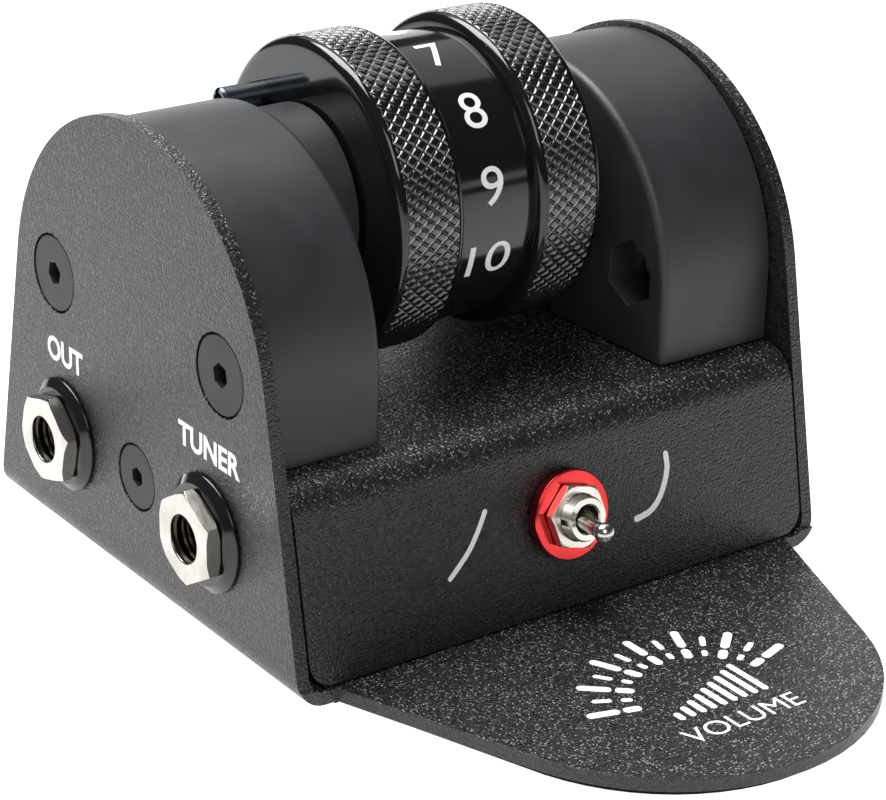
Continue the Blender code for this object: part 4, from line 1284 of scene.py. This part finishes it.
def chamfered_nut(name: str, flats: float, bore: float, start: float, end: float) -> Piece:
    """A hexagon nut with round-chamfered corners and a countersunk bore.

    Args:
        name: the piece's name.
        flats: width across flats.
        bore: radius of the hole.
        start: height of its inner face.
        end: height of its outer face.

    Returns:
        The nut about local Z.
    """
    nut = hexagonal(name, flats, start, end)
    corner = flats / 2 / math.cos(math.pi / 6)
    clip = flats / 2 * 1.03
    drop = (corner - clip) * math.tan(math.radians(30))
    rings = [(clip, start - WELD), (corner * 1.02, start + drop * 1.1), (corner * 1.02, end - drop * 1.1)]
    rings += [(clip, end + WELD)]
    carve(nut, turned("chamfer_tool", rings), "INTERSECT")
    reach = 0.6 * MM
    hole = [(bore + reach, start - reach), (bore, start + 0.25 * MM), (bore, end - 0.12 * MM)]
    hole += [(bore + reach * 0.3, end + WELD)]
    return carve(nut, turned("bore_tool", hole, COARSE))


def sleeve_rings(start: float, end: float, outer: float, bore: float) -> list[Ring]:
    """Profile of a threaded sleeve: ridges outside, a turned-out mouth and ridges inside.

    Args:
        start: height of its inner end.
        end: height of its outer end.
        outer: radius over the thread.
        bore: radius of the bore.

    Returns:
        Rings from the bore's inner end round to the bore's mouth and back inside.
    """
    pitch, depth = 0.7 * MM, 0.22 * MM
    rings = [(bore, start), (outer - depth, start)]
    height = start
    while height + pitch < end - 0.3 * MM:
        rings += [(outer - depth, height + 0.1 * MM), (outer - 0.02 * MM, height + pitch / 2)]
        height += pitch
    rings += [(outer - depth, end - 0.25 * MM), (outer - depth - 0.15 * MM, end)]
    rings += [(bore + 0.35 * MM, end), (bore, end - 0.4 * MM)]
    height = end - 1.0 * MM
    for _ in range(7):
        rings += [(bore, height), (bore + 0.18 * MM, height - 0.3 * MM), (bore, height - 0.6 * MM)]
        height -= 0.8 * MM
    return rings


# ---- toggle switch ---------------------------------------------------------------------------------
@dataclass
class ToggleSwitch:
    """The tuner switch: red ring, small nut, threaded bushing with its keyway, and the lever."""

    slope: Place
    up: float = 15.5 * MM
    flats: float = 8.3 * MM
    nut_turn: float = 16.0
    thread: float = 3.15 * MM
    bore: float = 1.95 * MM
    ring_radius: float = 6.2 * MM
    seat: float = 0.3 * MM
    ring_depth: float = 1.5 * MM
    nut_depth: float = 1.45 * MM
    mouth: float = 5.15 * MM
    tail: float = -3.7 * MM
    pivot: float = 0.65 * MM
    length: float = 11.0 * MM
    lean: float = 12.5

    def build(self) -> None:
        """Model and dress the switch's visible pieces."""
        place = self.slope.shifted(up=self.up)
        ring_end = self.seat + self.ring_depth
        self.ring(place, ring_end)
        self.nut(place, ring_end + 0.15 * MM)
        self.bushing(place)
        self.lever(place)

    def ring(self, place: Place, end: float) -> None:
        """The red anodised ring with a bright shoulder.

        Args:
            place: where the piece sits on the pedal.
            end: height of its outer face.
        """
        radius, start = self.ring_radius, self.seat
        inner = self.thread + 0.3 * MM
        rings = [(inner, start), (radius - 0.1 * MM, start), (radius, start + 0.1 * MM), (radius, end - 0.12 * MM)]
        rings += [(radius - 0.12 * MM, end), (inner + 0.4 * MM, end), (inner, end - 0.3 * MM)]
        piece = turned("toggle_red_ring", rings, bored=True)
        settled(softened(piece, 0.04 * MM, segments=2), place)
        delivered(piece, Finishes.red, Body.PEDAL, "red_anodised", "toggle_ring")

    def nut(self, place: Place, start: float) -> None:
        """The switch's chamfered nut.

        Args:
            place: where the piece sits on the pedal.
            start: height of its inner face.
        """
        piece = chamfered_nut("toggle_hex_nut", self.flats, self.thread + 0.02 * MM, start, start + self.nut_depth)
        piece.data.transform(Matrix.Rotation(math.radians(self.nut_turn), 4, "Z"))
        settled(softened(piece, 0.06 * MM, segments=2), place)
        delivered(piece, Finishes.satin, Body.PEDAL, "nickel", "toggle_nut")

    def bushing(self, place: Place) -> None:
        """The threaded bushing, cut by a keyway along its left side.

        Args:
            place: where the piece sits on the pedal.
        """
        start, end = -3.0 * MM, self.mouth
        ridges, depth = 14, 0.30 * MM
        pitch = (end - 0.15 * MM - start) / ridges
        rings = [(self.bore, start)]
        for i in range(ridges):
            height = start + i * pitch
            rings += [(self.thread - depth, height), (self.thread - 0.01 * MM, height + pitch / 2)]
        rings += [(self.thread - depth, end - 0.15 * MM), (self.thread - depth + 0.04 * MM, end)]
        rings += [(self.bore + 0.2 * MM, end), (self.bore, end - 0.2 * MM)]
        piece = turned("toggle_threaded_bushing", rings, bored=True)
        key = block("keyway", Vector((-4 * MM, -0.42 * MM, 0.0)), Vector((-2.62 * MM, 0.42 * MM, 8 * MM)))
        carve(piece, key)
        settled(shaded(piece, 35.0), place)
        delivered(piece, Finishes.satin, Body.PEDAL, "nickel", "toggle_bushing")

    def lever(self, place: Place) -> None:
        """The tapered lever with its round tip, leaning to the left.

        Args:
            place: where the piece sits on the pedal.
        """
        tip, rod, ball = 1.36 * MM, 0.95 * MM, 1.5 * MM
        rings = [(0.3 * MM, self.tail), (rod * 0.8, self.tail + 0.2 * MM), (rod * 0.85, -1.3 * MM)]
        rings += [(ball * math.cos(t), ball * math.sin(t)) for t in (-0.9, -0.5, 0.0, 0.5, 0.9)]
        rings += [(rod * 0.92, 1.7 * MM), (rod * 0.92, 3.2 * MM), (rod * 1.12, self.length - 1.5 * MM)]
        for degrees in range(-50, 90, 10):
            turn = math.radians(degrees)
            rings.append((tip * math.cos(turn), self.length + tip * math.sin(turn)))
        piece = shaded(turned("toggle_bat_lever", rings, COARSE), 60.0)
        turn = Matrix.Rotation(math.radians(-self.lean), 4, "Y")
        piece.data.transform(Matrix.Translation((0, 0, self.pivot)) @ turn)
        settled(piece, place)
        delivered(piece, Finishes.lever, Body.LEVER, "nickel", "toggle_lever")


# ---- fasteners -------------------------------------------------------------------------------------
@dataclass(frozen=True)
class ScrewSize:
    """Head and shank radii, length, and width of the hexagon socket."""

    head: float
    shank: float
    length: float
    socket: float


@dataclass
class Fasteners:
    """Countersunk socket screws in both side walls."""

    cheek: ScrewSize = ScrewSize(5.4 * MM, 2.5 * MM, 14.5 * MM, 3.0 * MM)
    cover: ScrewSize = ScrewSize(4.55 * MM, 2.0 * MM, 7.0 * MM, 2.5 * MM)
    rim: float = 0.35 * MM
    turns: tuple[float, ...] = (12.0, 47.0, 21.0, 33.0, 5.0, 52.0)

    def build(self) -> None:
        """Model one screw of each size, and copy it to its places."""
        nodes = [f"cheek_screw_{side}_{end}" for side in ("left", "right") for end in ("front", "rear")]
        nodes += ["cover_screw_left", "cover_screw_right"]
        masters = {
            "cheek": self.screw("cheek_master", self.cheek),
            "cover": self.screw("cover_master", self.cover),
        }
        for node, turn in zip(nodes, self.turns):
            low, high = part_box(node)
            side = Side.LEFT if high.x < 0 else Side.RIGHT
            middle = (low + high) / 2
            face = max(abs(low.x), abs(high.x))
            master = masters[node.split("_")[0]]
            screw = bpy.data.objects.new(f"{node}_black", master.data.copy())
            screw.data.name = screw.name
            bpy.context.scene.collection.objects.link(screw)
            screw.data.transform(Matrix.Rotation(math.radians(turn), 4, "Z"))
            settled(screw, wall_place(side, face, middle.y, middle.z))
            delivered(screw, Finishes.screw, Body.PEDAL, "black_screw", node)
        for master in masters.values():
            bpy.data.objects.remove(master)

    def screw(self, name: str, size: ScrewSize) -> Piece:
        """One screw about local Z, its flush face at height 0 and its hexagon socket cut in.

        Args:
            name: the new piece's name.
            size: the screw's measures.

        Returns:
            The screw.
        """
        cone = size.head - size.shank
        rings = [(size.shank - 0.4 * MM, -size.length), (size.shank, -size.length + 0.4 * MM)]
        height = -size.length + 0.8 * MM
        while height < -self.rim - cone - 1.2 * MM:
            rings += [(size.shank - 0.3 * MM, height), (size.shank, height + 0.4 * MM)]
            height += 0.8 * MM
        rings += [(size.shank, -self.rim - cone), (size.head, -self.rim)]
        rings += [(size.head, -0.12 * MM), (size.head - 0.12 * MM, 0.0)]
        piece = turned(name, rings, COARSE)
        carve(piece, hexagonal("socket_tool", size.socket, -cone, 1 * MM))
        return softened(piece, 0.05 * MM, segments=2, angle=40.0)


# ---- carried-over CAD pieces -----------------------------------------------------------------------
@dataclass
class Inside:
    """The CAD nodes that keep their own shape, mostly hidden, each with a real finish."""

    finishes: tuple[tuple[str, Finish], ...] = (
        ("spring", Finishes.bronze),
        ("jack_", Finishes.moulding),
        ("toggle_body", Finishes.moulding),
        ("pot_ribbon", Finishes.ribbon),
        ("circuit_board", Finishes.board),
        ("travel_stop_screw", Finishes.screw),
        ("pot_", Finishes.steel),
        ("", Finishes.steel),
    )

    def build(self) -> None:
        """Dress every CAD node that is still shown."""
        for name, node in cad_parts.items():
            if node.hide_render:
                continue
            finish = next(finish for part, finish in self.finishes if part in name)
            for slot in node.material_slots:
                slot.material = finish.material()
            LOG.info("%s: CAD shape in %s", name, finish.name)


# ---- studio ----------------------------------------------------------------------------------------
@dataclass(frozen=True)
class Lamp:
    """One soft panel: where it stands, what it faces, its size and its power."""

    name: str
    at: Colour
    towards: Colour
    size: tuple[float, float]
    power: float

    def build(self) -> None:
        """Add the area light."""
        data = bpy.data.lights.new(self.name, "AREA")
        data.shape = "RECTANGLE"
        data.size, data.size_y = self.size
        data.energy = self.power
        lamp = bpy.data.objects.new(self.name, data)
        bpy.context.scene.collection.objects.link(lamp)
        lamp.location = self.at
        lamp.rotation_euler = (Vector(self.towards) - Vector(self.at)).to_track_quat("-Z", "Y").to_euler()


@dataclass
class Studio:
    """Pale floor, soft light and the camera."""

    camera_at: Colour = (-0.210890, -0.291260, 0.176161)
    camera_turn: Colour = (66.497844, -1.355048, -36.199456)
    lens: float = 110.680
    lamps: tuple[Lamp, ...] = (
        Lamp("key_overhead", (-0.16, 0.26, 0.70), (0, 0, 0.04), (0.46, 0.72), 13.5),
        Lamp("panel_high", (0.40, 0.52, 0.80), (0, 0, 0.04), (1.30, 0.66), 2.4),
        Lamp("backdrop_low", (0.56, 0.86, 0.16), (0, 0, 0.04), (1.30, 0.42), 2.6),
        Lamp("fill_front", (-0.30, -0.60, 0.55), (0, 0, 0.03), (0.40, 0.40), 1.9),
        Lamp("strip_front", (0.44, -0.56, 0.13), (0, 0, 0.05), (0.30, 0.05), 0.06),
    )
    world: Colour = (0.045, 0.046, 0.048)
    backdrop: Colour = (1.0, 1.0, 1.0)
    floor_glow: float = 1.08

    def build(self) -> None:
        """Set up everything that isn't part of the pedal."""
        self.camera()
        for lamp in self.lamps:
            lamp.build()
        self.floor()
        self.sky()
        view = bpy.context.scene.view_settings
        view.view_transform = "Standard"
        view.look = "None"

    def camera(self) -> None:
        """Place the camera at the viewing angle."""
        data = bpy.data.cameras.new("camera")
        data.lens = self.lens
        data.sensor_width = 36.0
        data.clip_start = 0.01
        camera = bpy.data.objects.new("camera", data)
        bpy.context.scene.collection.objects.link(camera)
        camera.location = self.camera_at
        camera.rotation_euler = [math.radians(a) for a in self.camera_turn]
        bpy.context.scene.camera = camera

    def floor(self) -> None:
        """A wide pale floor."""
        bpy.ops.object.select_all(action="DESELECT")
        bpy.ops.mesh.primitive_plane_add(size=12.0, location=(0, 0, -0.0001))
        floor = named("floor")
        bpy.ops.object.transform_apply()
        shader = Shader("pale_floor")
        cloud = shader.noise(0.4)
        shader.paint(
            Base_Color=shader.blend(cloud, (0.27, 0.27, 0.27), (0.31, 0.31, 0.31)),
            Roughness=0.6 + 0.1 * cloud,
            Emission_Color=(1.0, 1.0, 1.0),
            Emission_Strength=self.floor_glow,
            Specular_IOR_Level=0.1,
        )
        floor.data.materials.append(shader.material)

    def sky(self) -> None:
        """Dim even light from all around, with a white backdrop behind everything."""
        world = bpy.data.worlds.new("studio")
        bpy.context.scene.world = world
        world.use_nodes = True
        tree = Tree(world.node_tree)
        background = next(n for n in world.node_tree.nodes if n.type == "BACKGROUND")
        behind = tree.node("ShaderNodeLightPath", {}, {}, "Is Camera Ray")
        tree.feed(background.inputs["Color"], tree.blend(behind, self.world, self.backdrop))


# ---- the whole pedal ---------------------------------------------------------------------------------
def main() -> None:
    """Build every sub-assembly in order, then the studio."""
    logging.basicConfig(level=logging.INFO, format="%(name)s %(message)s")
    Chassis().build()
    deck = DeckCover()
    deck.build()
    Cheeks().build()
    Roller().build()
    for socket in (
        JackSocket("out", Side.LEFT, -14.0),
        JackSocket("tuner", Side.LEFT, 1.0),
        JackSocket("in", Side.RIGHT, 12.0),
    ):
        socket.build()
    ToggleSwitch(deck.face()).build()
    Fasteners().build()
    Inside().build()
    Studio().build()


if __name__ == "__main__":
    main()
